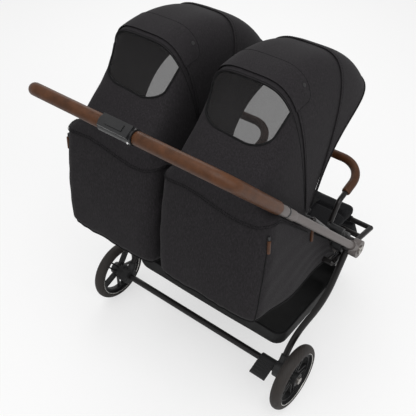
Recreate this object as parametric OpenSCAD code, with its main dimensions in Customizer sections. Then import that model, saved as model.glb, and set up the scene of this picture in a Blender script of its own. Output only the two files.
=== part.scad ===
/* [Wheels] */
// Half the distance between the middles of the rear wheels
track_half = 350; // [340:1:356]
// Radius of a rear wheel over its tyre
rear_r = 105; // [95:1:115]
// Width of a rear tyre
rear_w = 36; // [30:1:38]
// Radius of a rear rim where the tyre sits
rear_rim_r = 86; // [76:1:90]
// Radius of a front wheel over its tyre
front_r = 78; // [70:1:82]
// Width of a front tyre
front_w = 30; // [24:1:34]
// Radius of a front rim where the tyre sits
front_rim_r = 61; // [54:1:64]
// Pairs of spokes in a wheel
spoke_pairs = 5; // [4:1:7]

/* [Frame] */
// How far the rear axle lies behind the middle of the stroller
axle_y = 150; // [140:1:160]
// How far the main hinge lies in front of the middle
hinge_fore = 95; // [90:1:100]
// Height of the main hinge
hinge_z = 452; // [446:1:458]
// How far the handlebar lies behind the middle
handle_y = 406; // [402:1:416]
// Height of the handlebar
handle_z = 960; // [950:1:975]
// Half the width of the handlebar between its bends
handle_half = 285; // [280:1:290]
// Where the push arms meet the hinge, from the middle
arm_x = 368; // [366:1:372]
// Where the rear legs meet the hinge, from the middle
rear_leg_x = 345; // [344:1:346]
// Where the rear legs meet the axle, from the middle
rear_foot_x = 305; // [302:1:307]
// Where the front casters stand, from the middle
caster_x = 185; // [180:1:192]
// How far the caster swivels lie in front of the middle
swivel_fore = 379; // [370:1:388]
// How far a front wheel trails its swivel
trail = 27; // [20:1:32]
// Radius of the push tube
push_r = 11; // [10:0.5:11]
// Radius of the rear leg tube
leg_r = 9.5; // [8:0.5:9.5]
// Radius of the front leg tube
front_leg_r = 10; // [9:0.5:11]

/* [Seats] */
// Where the middle of each seat lies, from the middle of the stroller
seat_x = 155; // [154:1:156]
// Half the width of a seat's fabric
seat_half = 145; // [143:1:146]
// Thickness of the seat fabric
cloth_t = 3; // [2:0.5:4]
// Length of a backrest from its pivot
back_len = 352; // [320:1:356]
// Slope of a backrest when it lies back
back_slope = 15; // [14:1:18]
// Length of a leg rest
rest_len = 118; // [90:1:130]

/* [Canopies] */
// How far the canopy pivots lie behind the middle
pivot_y = 75; // [72:1:78]
// Height of the canopy pivots
pivot_z = 645; // [640:1:650]
// Radius of the canopy from its pivots to its crown
crown_r = 403; // [396:1:408]
// Half the width of a canopy
canopy_half = 138; // [136:1:139]

/* [Hidden] */
$fn = 64;

// Clearances: a running fit, a seat between fixed pieces, and how far a cut runs past its piece
run_gap = 0.06;
seat_gap = 0.3;
over = 5;

// Main points of the side view
hinge_y = -hinge_fore;
swivel_y = -swivel_fore;
arm_end = [arm_x, hinge_y, hinge_z];
bar_end = [handle_half, handle_y, handle_z];
arm_dir = (bar_end - arm_end) / norm(bar_end - arm_end);

// Main hinge: pin, discs and the layers from the middle outwards
pin_r = 6;
pin_head_r = 13;
pin_head_t = 4;
pin_tail = 2;
socket_r = 4;
socket_depth = 12;
hub_r = 30;
hub_x0 = 308;
hub_x1 = 333;
hub_lip = 4;
leg_disc_r = 23;
leg_disc_t = 17.5;
knuckle_r = 26;
boss_wall = 3.5;
boss_len = 46;
plug_start = 18;

// Rear axle, its rod and the brake
axle_r = 10;
rod_r = 6;
case_x0 = 294;
case_x1 = 321.4;
case_r = 27;
hub_face_x = 322;
nut_r = 11;
nut_t = 6;
brake_ring_r = 20;
brake_pin_r = 2.5;
brake_hole_r = 3.3;
brake_holes = 12;
brake_hole_depth = 8;
brake_pin_len = 20;
flange_t = 11;
pedal_w = 52;
pedal_t = 6;
pedal_reach = 62;
pedal_ring_r = 17;
pedal_ribs = 5;
pedal_rib = 2;
pedal_x = 264;
pedal_drop = 18;

// Wheel detail
hub_boss_r = 20;
spoke_root_share = 0.8;
spoke_w = 4.5;
spoke_t = 9;
spoke_pitch = 17;
rim_band_share = 0.06;
rim_web_share = 0.17;
web_w_share = 0.42;
rim_w_share = 0.86;
tyre_crown_share = 0.5;

// Casters
stem_r = 8;
sleeve_r = 16;
sleeve_h = 46;
crown_t = 9;
wheel_gap = 5;
fork_t = 6;
fork_gap = 2.5;
fork_foot_r = 13;
front_rod_r = 4;
crossbar_r = 10;
step_d = 96;
step_t = 6;
step_lip = 12;
step_slots = 7;
step_slot_w = 10;

// Seat frame and posts
rail_r = 8;
rail_x = 326;
recline_y = -40;
recline_z = 411;
front_bar_fore = 285;
front_bar_z = 366;
mid_bar_fore = 225;
mid_bar_z = 372;
post_r = 7;
post_x = 311;
pivot_r = 5;
eye_r = 15;

// Bumper bars
bumper_y = -74;
bumper_z = 505;
bumper_half = 126;
bumper_eye_r = 11;
bumper_eye_t = 9;
bumper_rise = 62;
bumper_lean = 40;
bumper_reach = 175;
bumper_lift = 100;
bumper_r = 7.5;
sleeve_wall = 5;
bumper_bend = 70;
bumper_knee = 22;

// Push tube, grips and fold button
bend_r = 42;
grip_wall = 5;
grip_down = 222;
button_half = 47;
button_r = 19;
button_l = 46;
button_w = 15;
button_t = 7;
button_low = 14.6;
button_tilt = 32;

// Soft parts
lug_r = 12.5;
lug_w = 26;
lug_x = 92;
pad_half = 124;
pad_t = 50;
pad_fore = 300;
pad_back = -62;
board_t = 24;
board_low = 16;
back_half = 122;
basket_half = 282;
basket_rear = 122;
basket_fore = 226;
basket_low = 128;
basket_top = 206;
basket_dip = 34;
basket_corner = 40;
strap_w = 22;
strap_x = 205;

// Turns the local z axis onto x and moves it to a place
module on_x(at) {
  translate(at) rotate([0, 90, 0]) children();
}

// The left piece as drawn, the right one mirrored
module side(s) {
  if (s > 0) children();
  else mirror([1, 0, 0]) children();
}

module rod(a, b, r) {
  d = b - a;
  translate(a) rotate([0, acos(d[2] / norm(d)), atan2(d[1], d[0])]) cylinder(h = norm(d), r = r);
}

function unit(v) = v / norm(v);
function turn(a, b) = acos(a * b);

// Rings along a bent path: its two ends and an arc at each inner point, as [place, direction]
function arc_rings(corner, a, b, bend) =
  let (angle = turn(a, b), n = unit(b - a * (a * b)), c = corner - a * bend * tan(angle / 2) + n * bend, steps = 6)
  [for (k = [0:steps]) let (q = angle * k / steps) [c + (a * sin(q) - n * cos(q)) * bend, a * cos(q) + n * sin(q)]];

function path_rings(path, bends) =
  let (last = len(path) - 1, dirs = [for (i = [0:last - 1]) unit(path[i + 1] - path[i])])
  concat([[path[0], dirs[0]]],
         [for (i = [1:last - 1]) for (ring = arc_rings(path[i], dirs[i - 1], dirs[i], bends[i - 1])) ring],
         [[path[last], dirs[last - 1]]]);

// Carries one cross direction along the rings without twisting it
function carry(rings, u, i = 0) =
  i == len(rings) ? [] : let (d = rings[i][1], v = unit(u - d * (u * d))) concat([v], carry(rings, v, i + 1));

// Triangles of a skin over rings of points, and the same turned inside out
function skin(rings, count, from) =
  [for (i = [0:rings - 2]) for (j = [0:count - 1]) for (f = [0, 1])
    let (a = from + i * count, b = a + count, k = (j + 1) % count)
    f == 0 ? [a + j, b + j, a + k] : [a + k, b + j, b + k]];
function flipped(faces) = [for (f = faces) [f[2], f[1], f[0]]];
function fan(pole, ring, count) = [for (j = [0:count - 1]) [pole, ring + j, ring + (j + 1) % count]];

// A bent tube along a path, with one bend radius for each inner point, solid or bored
module pipe(path, bends, r, bore_r) {
  count = 16;
  rings = path_rings(path, bends);
  last = len(rings) - 1;
  cross_dirs = carry(rings, [0.3, 0.5, 0.8]);
  function skin_points(radius) = [for (i = [0:last]) for (j = [0:count - 1])
    let (d = rings[i][1], u = cross_dirs[i], q = 360 * j / count)
    rings[i][0] + radius * (cos(q) * u + sin(q) * cross(d, u))];
  outer = skin_points(r);
  n = len(outer);
  tail = last * count;
  if (bore_r == 0)
    polyhedron(concat(outer, [rings[0][0], rings[last][0]]),
               concat(skin(last + 1, count, 0), fan(n, 0, count), flipped(fan(n + 1, tail, count))));
  else
    polyhedron(concat(outer, skin_points(bore_r)),
               concat(skin(last + 1, count, 0), flipped(skin(last + 1, count, n)),
                      flipped(rim(0, n, count)), rim(tail, n + tail, count)));
}

// Flat ring of triangles between two rings of points
function rim(a, b, count) =
  [for (j = [0:count - 1]) for (f = [0, 1]) let (k = (j + 1) % count)
    f == 0 ? [a + j, b + j, a + k] : [a + k, b + j, b + k]];

function spow(b, e) = sign(b) * pow(abs(b), e);

// A crowned cushion: squarish outline, sides drawn in between the corners, one sewn channel across
module pillow(size, draw_share, channel_share, channel_at_share) {
  rings = 8;
  count = 36;
  square_share = 0.32;
  fullness_share = 0.4;
  crown_share = 0.75;
  channel_w_share = 0.05;
  cover = [for (i = [1:rings - 1]) for (j = [0:count - 1])
    let (v = -90 + 180 * i / rings, u = 360 * j / count,
         pull = 1 - draw_share * pow(cos(2 * u), 2),
         f = spow(cos(v), fullness_share),
         x = f * pull * spow(cos(u), square_share),
         y = f * pull * spow(sin(u), square_share),
         groove = v > 0 ? 1 - channel_share * exp(-pow((y - channel_at_share) / channel_w_share, 2)) : 1,
         z = groove * spow(sin(v), crown_share))
    [size[0] / 2 * x, size[1] / 2 * y, size[2] / 2 * z]];
  points = concat(cover, [[0, 0, -size[2] / 2], [0, 0, size[2] / 2]]);
  low = len(cover);
  faces = concat(skin(rings - 1, count, 0), fan(low, 0, count), flipped(fan(low + 1, (rings - 2) * count, count)));
  polyhedron(points, faces);
}

// Front frame

module hinge_hub() {
  leg_dir = unit([caster_x, swivel_y, front_top_z()] - hub_mid());
  bumper_face = seat_x + bumper_half + bumper_eye_t + seat_gap;
  arm_at = hub_x1 - hub_lip / 4 - post_r;
  color("#1d1d1f") difference() {
    union() {
      on_x([hub_x0, hinge_y, hinge_z]) cylinder(h = hub_x1 - hub_x0, r = hub_r);
      on_x([hub_x0 - hub_lip, hinge_y, hinge_z]) cylinder(h = hub_lip, r = hub_r - hub_lip);
      rod(hub_mid(), hub_mid() + leg_dir * boss_len, front_leg_r + boss_wall);
      rod([arm_at, hinge_y, hinge_z], [arm_at, bumper_y, bumper_z], post_r - seat_gap);
      on_x([bumper_face, bumper_y, bumper_z]) cylinder(h = hub_x1 - hub_lip / 2 - bumper_face, r = bumper_eye_r);
      on_x([seat_x + bumper_half, bumper_y, bumper_z]) cylinder(h = over + bumper_eye_t, r = pivot_r);
    }
    on_x([hub_x0 - hub_lip - over, hinge_y, hinge_z])
      cylinder(h = hub_x1 - hub_x0 + hub_lip + 2 * over, r = pin_r + run_gap);
    rod(hub_mid() + leg_dir * plug_start, hub_mid() + leg_dir * (boss_len + over), front_leg_r + run_gap);
  }
}

function hub_mid() = [(hub_x0 + hub_x1) / 2, hinge_y, hinge_z];
function front_top_z() = 2 * front_r + wheel_gap + crown_t + sleeve_h / 2;
function sleeve_low() = 2 * front_r + wheel_gap + crown_t + seat_gap;

module hinge_pin() {
  x0 = hub_x0 - hub_lip - pin_tail;
  x1 = arm_x + push_r + seat_gap;
  color("#8b8785") difference() {
    union() {
      on_x([x0, hinge_y, hinge_z]) cylinder(h = x1 - x0 + pin_head_t, r = pin_r);
      on_x([x1, hinge_y, hinge_z]) cylinder(h = pin_head_t, r = pin_head_r);
    }
    on_x([x1 + pin_head_t - socket_depth, hinge_y, hinge_z]) cylinder(h = socket_depth + over, r = socket_r);
  }
}

module front_leg() {
  low = [caster_x, swivel_y, front_top_z()];
  leg_dir = unit(low - hub_mid());
  color("#6b6462") difference() {
    union() {
      rod(hub_mid() + leg_dir * (plug_start + seat_gap), low, front_leg_r);
      translate([caster_x, swivel_y, sleeve_low()]) cylinder(h = sleeve_h, r = sleeve_r);
      translate([caster_x, swivel_y, sleeve_low() + sleeve_h]) sphere(r = sleeve_r);
    }
    translate([caster_x, swivel_y, sleeve_low() - over]) cylinder(h = sleeve_h + over, r = stem_r + run_gap);
  }
}

module front_crossbar() {
  color("#6b6462") difference() {
    on_x([-caster_x, swivel_y, front_top_z()]) cylinder(h = 2 * caster_x, r = crossbar_r);
    for (s = [-1, 1]) translate([s * caster_x, swivel_y, 0]) cylinder(h = hinge_z, r = sleeve_r + seat_gap);
  }
}

// A moulded step on the crossbar, with drain slots and a turned-up front lip
module footrest() {
  w = 2 * (caster_x - sleeve_r - 2 * over);
  z = front_top_z() + crossbar_r + seat_gap;
  color("#161617") translate([-w / 2, swivel_y - step_d / 2, z]) difference() {
    union() {
      cube([w, step_d, step_t]);
      translate([0, step_lip / 2, 0]) rotate([0, 90, 0]) translate([-step_lip / 2, 0, 0])
        cylinder(h = w, r = step_lip / 2);
    }
    for (i = [1:step_slots])
      translate([w * i / (step_slots + 1) - step_slot_w / 2, 2 * step_lip, -over])
        cube([step_slot_w, step_d - 3 * step_lip, step_t + 2 * over]);
  }
}

module seat_frame() {
  color("#5d5856") union() {
    for (s = [-1, 1]) {
      rod([s * rail_x, recline_y, recline_z], [s * rail_x, -front_bar_fore, front_bar_z], rail_r);
      rod([s * rail_x, hinge_y, hinge_z - hub_r - seat_gap], [s * rail_x, hinge_y, recline_z - rail_r], rail_r);
      translate([s * rail_x, recline_y, recline_z]) sphere(r = rail_r + seat_gap);
      translate([s * rail_x, -front_bar_fore, front_bar_z]) sphere(r = rail_r + seat_gap);
    }
    on_x([-rail_x, recline_y, recline_z]) cylinder(h = 2 * rail_x, r = rail_r);
    on_x([-rail_x, -front_bar_fore, front_bar_z]) cylinder(h = 2 * rail_x, r = rail_r);
    on_x([-rail_x, -mid_bar_fore, mid_bar_z]) cylinder(h = 2 * rail_x, r = rail_r);
  }
}

// Between the seats: carries the inner canopy pivots and the inner ends of the bumper bars
module center_post() {
  top = [0, pivot_y, pivot_z];
  foot = [0, recline_y, recline_z];
  fork = [0, bumper_y, bumper_z];
  stub = seat_x - bumper_half - bumper_eye_t - seat_gap;
  color("#5d5856") difference() {
    union() {
      rod(foot, top, post_r);
      rod(foot, fork, post_r);
      translate(top) sphere(r = post_r + boss_wall);
      on_x([-stub, bumper_y, bumper_z]) cylinder(h = 2 * stub, r = bumper_eye_r);
      on_x([bumper_half - seat_x, bumper_y, bumper_z]) cylinder(h = 2 * (seat_x - bumper_half), r = pivot_r);
      on_x([-post_r, recline_y, recline_z]) cylinder(h = 2 * post_r, r = rail_r + boss_wall);
    }
    on_x([-seat_x, recline_y, recline_z]) cylinder(h = 2 * seat_x, r = rail_r + run_gap);
    on_x([-seat_x, pivot_y, pivot_z]) cylinder(h = 2 * seat_x, r = pivot_r + run_gap);
  }
}

// Outer canopy post, just inside the push arm
module canopy_post() {
  top = [post_x, pivot_y, pivot_z];
  d = unit(top - [post_x, hinge_y, hinge_z]);
  color("#5d5856") union() {
    rod([post_x, hinge_y, hinge_z] + d * (hub_r + seat_gap), top, post_r);
    translate(top) sphere(r = post_r + seat_gap);
  }
}

module canopy_pins() {
  inner = seat_x - canopy_half + 4 * cloth_t;
  outer = seat_x + canopy_half - 4 * cloth_t;
  color("#1d1d1f") {
    on_x([-inner, pivot_y, pivot_z]) cylinder(h = 2 * inner, r = pivot_r);
    for (s = [1, -1]) side(s) on_x([outer, pivot_y, pivot_z])
      cylinder(h = post_x - post_r - seat_gap - outer, r = pivot_r);
  }
}

// Rounded rectangle from its two corners
module round_rect(a, b, r) {
  translate(a + [r, 0]) square([b[0] - a[0] - 2 * r, b[1] - a[1]]);
  translate(a + [0, r]) square([b[0] - a[0], b[1] - a[1] - 2 * r]);
  for (x = [a[0] + r, b[0] - r]) for (y = [a[1] + r, b[1] - r]) translate([x, y]) circle(r);
}

// Open cloth basket under the seats, with a sagging rear edge and two front straps
module basket() {
  wall = 2 * cloth_t;
  reach = basket_half - basket_corner;
  dip = concat([for (q = [-90:15:90]) [reach * sin(q), basket_top - basket_dip * cos(q)]],
               [[reach, basket_top + over], [-reach, basket_top + over]]);
  bar = [0, -front_bar_fore, front_bar_z];
  hem = [0, wall - basket_fore - cloth_t, basket_top - strap_w];
  d = unit(hem - bar);
  color("#141415") union() {
    difference() {
      translate([0, 0, basket_low]) linear_extrude(basket_top - basket_low)
        round_rect([-basket_half, -basket_fore], [basket_half, basket_rear], basket_corner);
      translate([0, 0, basket_low + cloth_t]) linear_extrude(basket_top)
        round_rect([wall - basket_half, wall - basket_fore], [basket_half - wall, basket_rear - wall],
                   basket_corner - wall);
      translate([0, basket_rear + over, 0]) rotate([90, 0, 0]) linear_extrude(2 * basket_corner) polygon(dip);
    }
    for (s = [-1, 1]) translate([s * strap_x, 0, 0])
      multmatrix([[1, 0, 0, 0], [0, d[2], d[1], bar[1]], [0, -d[1], d[2], bar[2]], [0, 0, 0, 1]])
        translate([-strap_w / 2, -cloth_t / 2, rail_r + seat_gap])
          cube([strap_w, cloth_t, norm(hem - bar) - rail_r - seat_gap]);
  }
}

// Seats

module seat_pad(s) {
  l = pad_fore + pad_back;
  color("#232325") translate([s * seat_x, pad_back - l / 2, mid_bar_z + rail_r + seat_gap + pad_t / 2])
    pillow([2 * pad_half, l, pad_t], draw_share = 0.03, channel_share = 0.3, channel_at_share = -0.35);
}

module lugs(r) {
  for (x = [-lug_x, lug_x]) on_x([x - lug_w / 2, 0, 0]) cylinder(h = lug_w, r = r);
}

// Padded board that turns on the rear bar of the seat frame
module backrest(s) {
  color("#232325") translate([s * seat_x, recline_y, recline_z]) rotate([back_slope, 0, 0]) difference() {
    union() {
      lugs(lug_r);
      translate([0, board_low + (back_len - board_low) / 2, board_t / 2 - lug_r / 2])
        pillow([2 * back_half, back_len - board_low, board_t],
               draw_share = 0.025, channel_share = 0.25, channel_at_share = 0.3);
      for (x = [-lug_x, lug_x]) translate([x - lug_w / 2, 0, -lug_r / 2]) cube([lug_w, 3 * board_low, lug_r]);
    }
    lugs_bore();
  }
}

module lugs_bore() {
  on_x([-seat_half, 0, 0]) cylinder(h = 2 * seat_half, r = rail_r + run_gap);
}

// Calf rest that hangs from the front bar of the seat frame
module leg_rest(s) {
  hang = 62;
  color("#232325") translate([s * seat_x, -front_bar_fore, front_bar_z]) rotate([hang, 0, 0]) difference() {
    union() {
      lugs(lug_r);
      translate([0, -board_low - (rest_len - board_low) / 2, 0])
        pillow([2 * back_half, rest_len - board_low, board_t],
               draw_share = 0.03, channel_share = 0, channel_at_share = 0);
      for (x = [-lug_x, lug_x]) translate([x - lug_w / 2, -3 * board_low, -lug_r / 2]) cube([lug_w, 3 * board_low, lug_r]);
    }
    lugs_bore();
  }
}

// Side view of the fabric shell, as shares of the box from its front hem to its rear wall
shell_front_fore = 105;
shell_rear = 340;
shell_low = 378;
shell_top = 812;
shell_shares = [[0, 0], [0.1, 0.2], [0.416, 0.52], [0.753, 0.86], [0.9, 1], [0.93, 1],
                [0.995, 0.265], [0.94, 0.245], [0.66, 0.163], [0.225, 0.062]];
shell_floor_share = 0.2;
shell_corner = 62;

function shell_point(p) = [p[0] * (shell_rear + shell_front_fore) - shell_front_fore,
                           p[1] * (shell_top - shell_low) + shell_low];

// A side view drawn as [y, z] points, given its width along x
module across(points, half) {
  translate([half, 0, 0]) rotate([0, -90, 0]) linear_extrude(2 * half) polygon([for (p = points) [p[1], p[0]]]);
}

// Plan of a seat with rounded rear corners
module seat_plan(half, rear, corner, low, top) {
  translate([0, 0, low]) linear_extrude(top - low) union() {
    translate([-half, -shell_front_fore]) square([2 * half, rear + shell_front_fore - corner]);
    translate([corner - half, 0]) square([2 * (half - corner), rear]);
    for (x = [corner - half, half - corner]) translate([x, rear - corner]) circle(corner);
  }
}

module seat_shell(s) {
  outline = [for (p = shell_shares) shell_point(p)];
  floor_y = shell_floor_share * (shell_rear + shell_front_fore) - shell_front_fore;
  hollow = [[-shell_front_fore - over, shell_low - over], [floor_y, shell_low - over],
            [floor_y, shell_point(shell_shares[9])[1] + cloth_t], shell_point(shell_shares[8]) + [0, cloth_t],
            shell_point(shell_shares[7]) + [0, cloth_t], shell_point(shell_shares[6]) + [-cloth_t, cloth_t],
            shell_point(shell_shares[5]) - [cloth_t, 0], shell_point(shell_shares[5]) + [-cloth_t, over],
            [-shell_front_fore - over, shell_top + over]];
  color("#2e2d2f") translate([s * seat_x, 0, 0]) difference() {
    intersection() {
      across(outline, seat_half);
      seat_plan(seat_half, shell_rear, shell_corner, shell_low - over, shell_top + over);
    }
    intersection() {
      across(hollow, seat_half);
      seat_plan(seat_half - cloth_t, shell_rear - cloth_t, shell_corner - cloth_t, shell_low - over, shell_top + 2 * over);
    }
    on_x([-seat_half - over, recline_y, recline_z]) cylinder(h = 2 * (seat_half + over), r = rail_r + 2 * seat_gap);
  }
}

// Canopies: three fabric sections on one pivot, each nested inside the next

section_gap = 1;
section_t = 2.5;
arch_power = 4;

function nest(k) = k * (section_t + section_gap);

// Arch of a canopy section as [radius, x] points, from one pivot eye over the crown to the other
function arch(half, r, from_r) =
  let (t0 = asin(pow(from_r / r, arch_power / 2)), steps = 22)
  [for (i = [0:steps]) let (t = t0 + (180 - 2 * t0) * i / steps)
    [r * spow(sin(t), 2 / arch_power), half * spow(cos(t), 2 / arch_power)]];

// Sector of a canopy between two angles about the pivot, measured from straight down over the rear
module canopy_sector(s, k, a0, a1) {
  half = canopy_half - nest(k);
  r = crown_r - nest(k);
  outer = arch(half, r, eye_r - over);
  inner = arch(half - section_t, r - section_t, eye_r - over);
  back = len(inner) - 1;
  on_x([s * seat_x, pivot_y, pivot_z]) difference() {
    union() {
      rotate([0, 0, a0]) rotate_extrude(angle = a1 - a0)
        polygon(concat(outer, [for (i = [0:back]) inner[back - i]]));
      for (x = [-half, half - section_t]) translate([0, 0, x]) cylinder(h = section_t, r = eye_r);
    }
    translate([0, 0, -seat_half]) cylinder(h = 2 * seat_half, r = pivot_r + run_gap);
  }
}

// Angles of the rear bow, the joint between the sections and the front edges at side and crown
bow_angle = 168;
mid_angle = 203;
side_angle = 206;
brow_angle = 237;
lap_angle = 2;

module canopy_mid(s) {
  color("#2e2d2f") canopy_sector(s, 1, bow_angle + lap_angle, mid_angle + lap_angle);
}

// Front section: its brow reaches forward over the seat and its sides stay back
brow_drop_share = 0.4;
brow_round_share = 1.06;
side_edge_share = 0.74;

function polar(a, r) = [pivot_y + r * sin(a), pivot_z - r * cos(a)];

module canopy_visor(s) {
  corner = polar(side_angle, side_edge_share * crown_r);
  eye_edge = polar(side_angle, 2 * eye_r);
  front_y = pivot_y - 2 * crown_r;
  slope = [front_y, corner[1] - brow_drop_share * (corner[0] - front_y)];
  round_r = brow_round_share * canopy_half;
  round_y = polar(brow_angle, crown_r)[0] + round_r;
  color("#2e2d2f") difference() {
    canopy_sector(s, 0, mid_angle, brow_angle);
    translate([s * seat_x, 0, 0]) across([eye_edge, corner, slope, [front_y, eye_edge[1]]], seat_half);
    translate([s * seat_x, round_y, 0]) difference() {
      translate([-seat_half, -2 * crown_r, 0]) cube([2 * seat_half, 2 * crown_r, 2 * handle_z]);
      translate([0, 0, -over]) cylinder(h = 2 * handle_z + 2 * over, r = round_r);
    }
  }
}

// Rear section: fixed hood from the rear bow down to the seat shell, with its vent window
hood_rear = 306;
hood_back_y = 236;
hood_back_z = 926;
hood_hem = 822;
window_top_share = 0.1;
window_low_share = 0.55;
window_half_share = 0.62;
window_foot_share = 0.42;

module canopy_hood(s) {
  half = canopy_half - nest(2);
  r = crown_r - nest(2);
  bow_top = polar(bow_angle, r);
  bow_foot = polar(bow_angle, 2 * eye_r);
  lift = cloth_t + seat_gap;
  rear_low = [hood_rear, shell_top + lift];
  outline = [bow_foot, bow_top, [hood_back_y, hood_back_z], [hood_rear, hood_hem], rear_low, shell_point(shell_shares[4]) + [0, lift],
             shell_point(shell_shares[3]) + [-lift, lift], shell_point(shell_shares[2]) + [-lift, lift]];
  t = 2 * section_t;
  hollow = [bow_foot - [4 * over, 4 * over], bow_top - [4 * over, t], bow_top - [0, t],
            [hood_back_y - section_t, hood_back_z - section_t], [hood_rear - section_t, hood_hem - section_t],
            [hood_rear - section_t, shell_low],
            [bow_foot[0] - 4 * over, shell_low]];
  slope = unit([hood_rear, hood_hem] - bow_top);
  run = norm([hood_rear, hood_hem] - bow_top);
  color("#2e2d2f") translate([s * seat_x, 0, 0]) difference() {
    union() {
      difference() {
        intersection() {
          across(outline, half);
          fold_room(half, r);
          seat_plan(half, hood_rear, shell_corner, shell_low, 2 * handle_z);
        }
        intersection() {
          across(hollow, half);
          fold_room(half - section_t, r - section_t);
          seat_plan(half - section_t, hood_rear - section_t, shell_corner - section_t, 0, 2 * handle_z);
        }
      }
      for (x = [-half, half - section_t]) on_x([x, pivot_y, pivot_z]) cylinder(h = section_t, r = eye_r);
    }
    on_x([-seat_half, pivot_y, pivot_z]) cylinder(h = 2 * seat_half, r = pivot_r + run_gap);
    multmatrix([[1, 0, 0, 0], [0, slope[0], -slope[1], bow_top[0]], [0, slope[1], slope[0], bow_top[1]], [0, 0, 0, 1]])
      translate([0, 0, -crown_r / 2]) linear_extrude(crown_r)
        polygon([[-window_half_share * half, window_top_share * run], [window_half_share * half, window_top_share * run],
                 [window_foot_share * half, window_low_share * run], [-window_foot_share * half, window_low_share * run]]);
  }
}

// Room inside the folding sections: an arch turned once round about the pivot
module fold_room(half, r) {
  points = concat([[0, half]], arch(half, r, eye_r - over), [[0, -half]]);
  on_x([0, pivot_y, pivot_z]) rotate_extrude() polygon(points);
}

// Rear frame

rear_foot = [rear_foot_x, axle_y, rear_r];
joggle_top_share = 0.41;
joggle_low_share = 0.75;
foot_plug = 15;

function leg_at(x, share) = [x, hinge_y + share * (axle_y - hinge_y), hinge_z + share * (rear_r - hinge_z)];

module rear_leg() {
  knee = leg_at(rear_leg_x, joggle_top_share);
  ankle = leg_at(rear_foot_x, joggle_low_share);
  d = unit(rear_foot - ankle);
  color("#6b6462") difference() {
    union() {
      rod([rear_leg_x, hinge_y, hinge_z], knee, leg_r);
      rod(knee, ankle, leg_r);
      rod(ankle, rear_foot - d * foot_plug, leg_r);
      for (p = [knee, ankle]) translate(p) sphere(r = leg_r + seat_gap);
      on_x([rear_leg_x - leg_disc_t / 2, hinge_y, hinge_z]) cylinder(h = leg_disc_t, r = leg_disc_r);
    }
    on_x([rear_leg_x - 2 * leg_r, hinge_y, hinge_z]) cylinder(h = 4 * leg_r, r = pin_r + run_gap);
  }
}

// Moulded end block that joins leg, axle and brake
module brake_case() {
  ankle = leg_at(rear_foot_x, joggle_low_share);
  d = unit(ankle - rear_foot);
  color("#1a1a1b") difference() {
    union() {
      on_x([case_x0, axle_y, rear_r]) cylinder(h = case_x1 - case_x0, r = case_r);
      rod(rear_foot, rear_foot + d * boss_len, leg_r + boss_wall);
    }
    rod(rear_foot + d * (foot_plug - seat_gap), rear_foot + d * (boss_len + over), leg_r + run_gap);
    on_x([case_x0 - over, axle_y, rear_r]) cylinder(h = case_x1 - case_x0 + 2 * over, r = rod_r + run_gap);
    on_x([0, axle_y, rear_r]) cylinder(h = case_x0, r = axle_r + run_gap);
    brake_place() on_x([case_x1 - brake_pin_len - 2 * brake_hole_depth, 0, 0])
      cylinder(h = brake_pin_len + 2 * brake_hole_depth + over, r = brake_pin_r + run_gap);
  }
}

// The brake pin lies behind the axle, on the ring of holes in the wheel
module brake_place() {
  translate([0, axle_y + brake_ring_r, rear_r]) children();
}

module brake_pin() {
  color("#9a9896") brake_place() on_x([case_x1 - brake_pin_len, 0, 0]) cylinder(h = brake_pin_len, r = brake_pin_r);
}

module rear_axle() {
  color("#6b6462") on_x([-case_x0 + seat_gap, axle_y, rear_r]) difference() {
    cylinder(h = 2 * (case_x0 - seat_gap), r = axle_r);
    translate([0, 0, -over]) cylinder(h = 2 * (case_x0 + over), r = rod_r + run_gap);
  }
}

module axle_rod() {
  x1 = track_half + rear_w / 2 + seat_gap;
  color("#9a9896") union() {
    on_x([-x1, axle_y, rear_r]) cylinder(h = 2 * x1, r = rod_r);
    for (s = [1, -1]) side(s) on_x([x1, axle_y, rear_r]) cylinder(h = nut_t, r = nut_r);
  }
}

// Ribbed foot pedal that turns on the axle tube beside the right wheel
module brake_pedal() {
  color("#131314") translate([-pedal_x, axle_y, rear_r]) difference() {
    union() {
      on_x([-pedal_w / 2, 0, 0]) cylinder(h = pedal_w, r = pedal_ring_r);
      rotate([-pedal_drop, 0, 0]) translate([-pedal_w / 2, 0, pedal_ring_r - pedal_t]) {
        cube([pedal_w, pedal_reach - pedal_t, pedal_t]);
        translate([0, pedal_reach - pedal_t, pedal_t / 2]) rotate([0, 90, 0]) cylinder(h = pedal_w, r = pedal_t / 2);
        for (i = [1:pedal_ribs]) translate([0, pedal_reach * i / (pedal_ribs + 1), pedal_t])
          rotate([0, 90, 0]) cylinder(h = pedal_w, r = pedal_rib);
      }
    }
    on_x([-pedal_w, 0, 0]) cylinder(h = 2 * pedal_w, r = axle_r + run_gap);
  }
}

// Wheels

// Twin-spoked wheel about the local z axis, from its inner face to its outer face
module spoked_wheel(rim_r, w, bore_r, z0, z1) {
  band = rim_r - rim_band_share * rim_r;
  web = rim_r - rim_web_share * rim_r;
  rim_w = rim_w_share * w;
  web_w = web_w_share * w;
  difference() {
    union() {
      rotate_extrude() polygon([[band, -rim_w / 2], [rim_r, -rim_w / 2], [rim_r, rim_w / 2], [band, rim_w / 2],
                                [band, web_w / 2], [web, web_w / 2], [web, -web_w / 2], [band, -web_w / 2]]);
      translate([0, 0, z0]) cylinder(h = z1 - z0, r = hub_boss_r);
      for (i = [1:spoke_pairs]) for (d = [-1, 1]) rotate([0, 0, 360 * i / spoke_pairs])
        translate([spoke_root_share * hub_boss_r, d * spoke_pitch / 2 - spoke_w / 2, -spoke_t / 2])
          cube([(web + band) / 2 - spoke_root_share * hub_boss_r, spoke_w, spoke_t]);
    }
    translate([0, 0, z0 - over]) cylinder(h = z1 - z0 + 2 * over, r = bore_r);
  }
}

// Tyre with a rounded tread about the local z axis
module tyre(r, rim_r, w) {
  tread_r = tyre_crown_share * w;
  rotate_extrude() intersection() {
    translate([r - tread_r, 0]) circle(tread_r);
    translate([rim_r + seat_gap, -w]) square([r, 2 * w]);
  }
}

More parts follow.
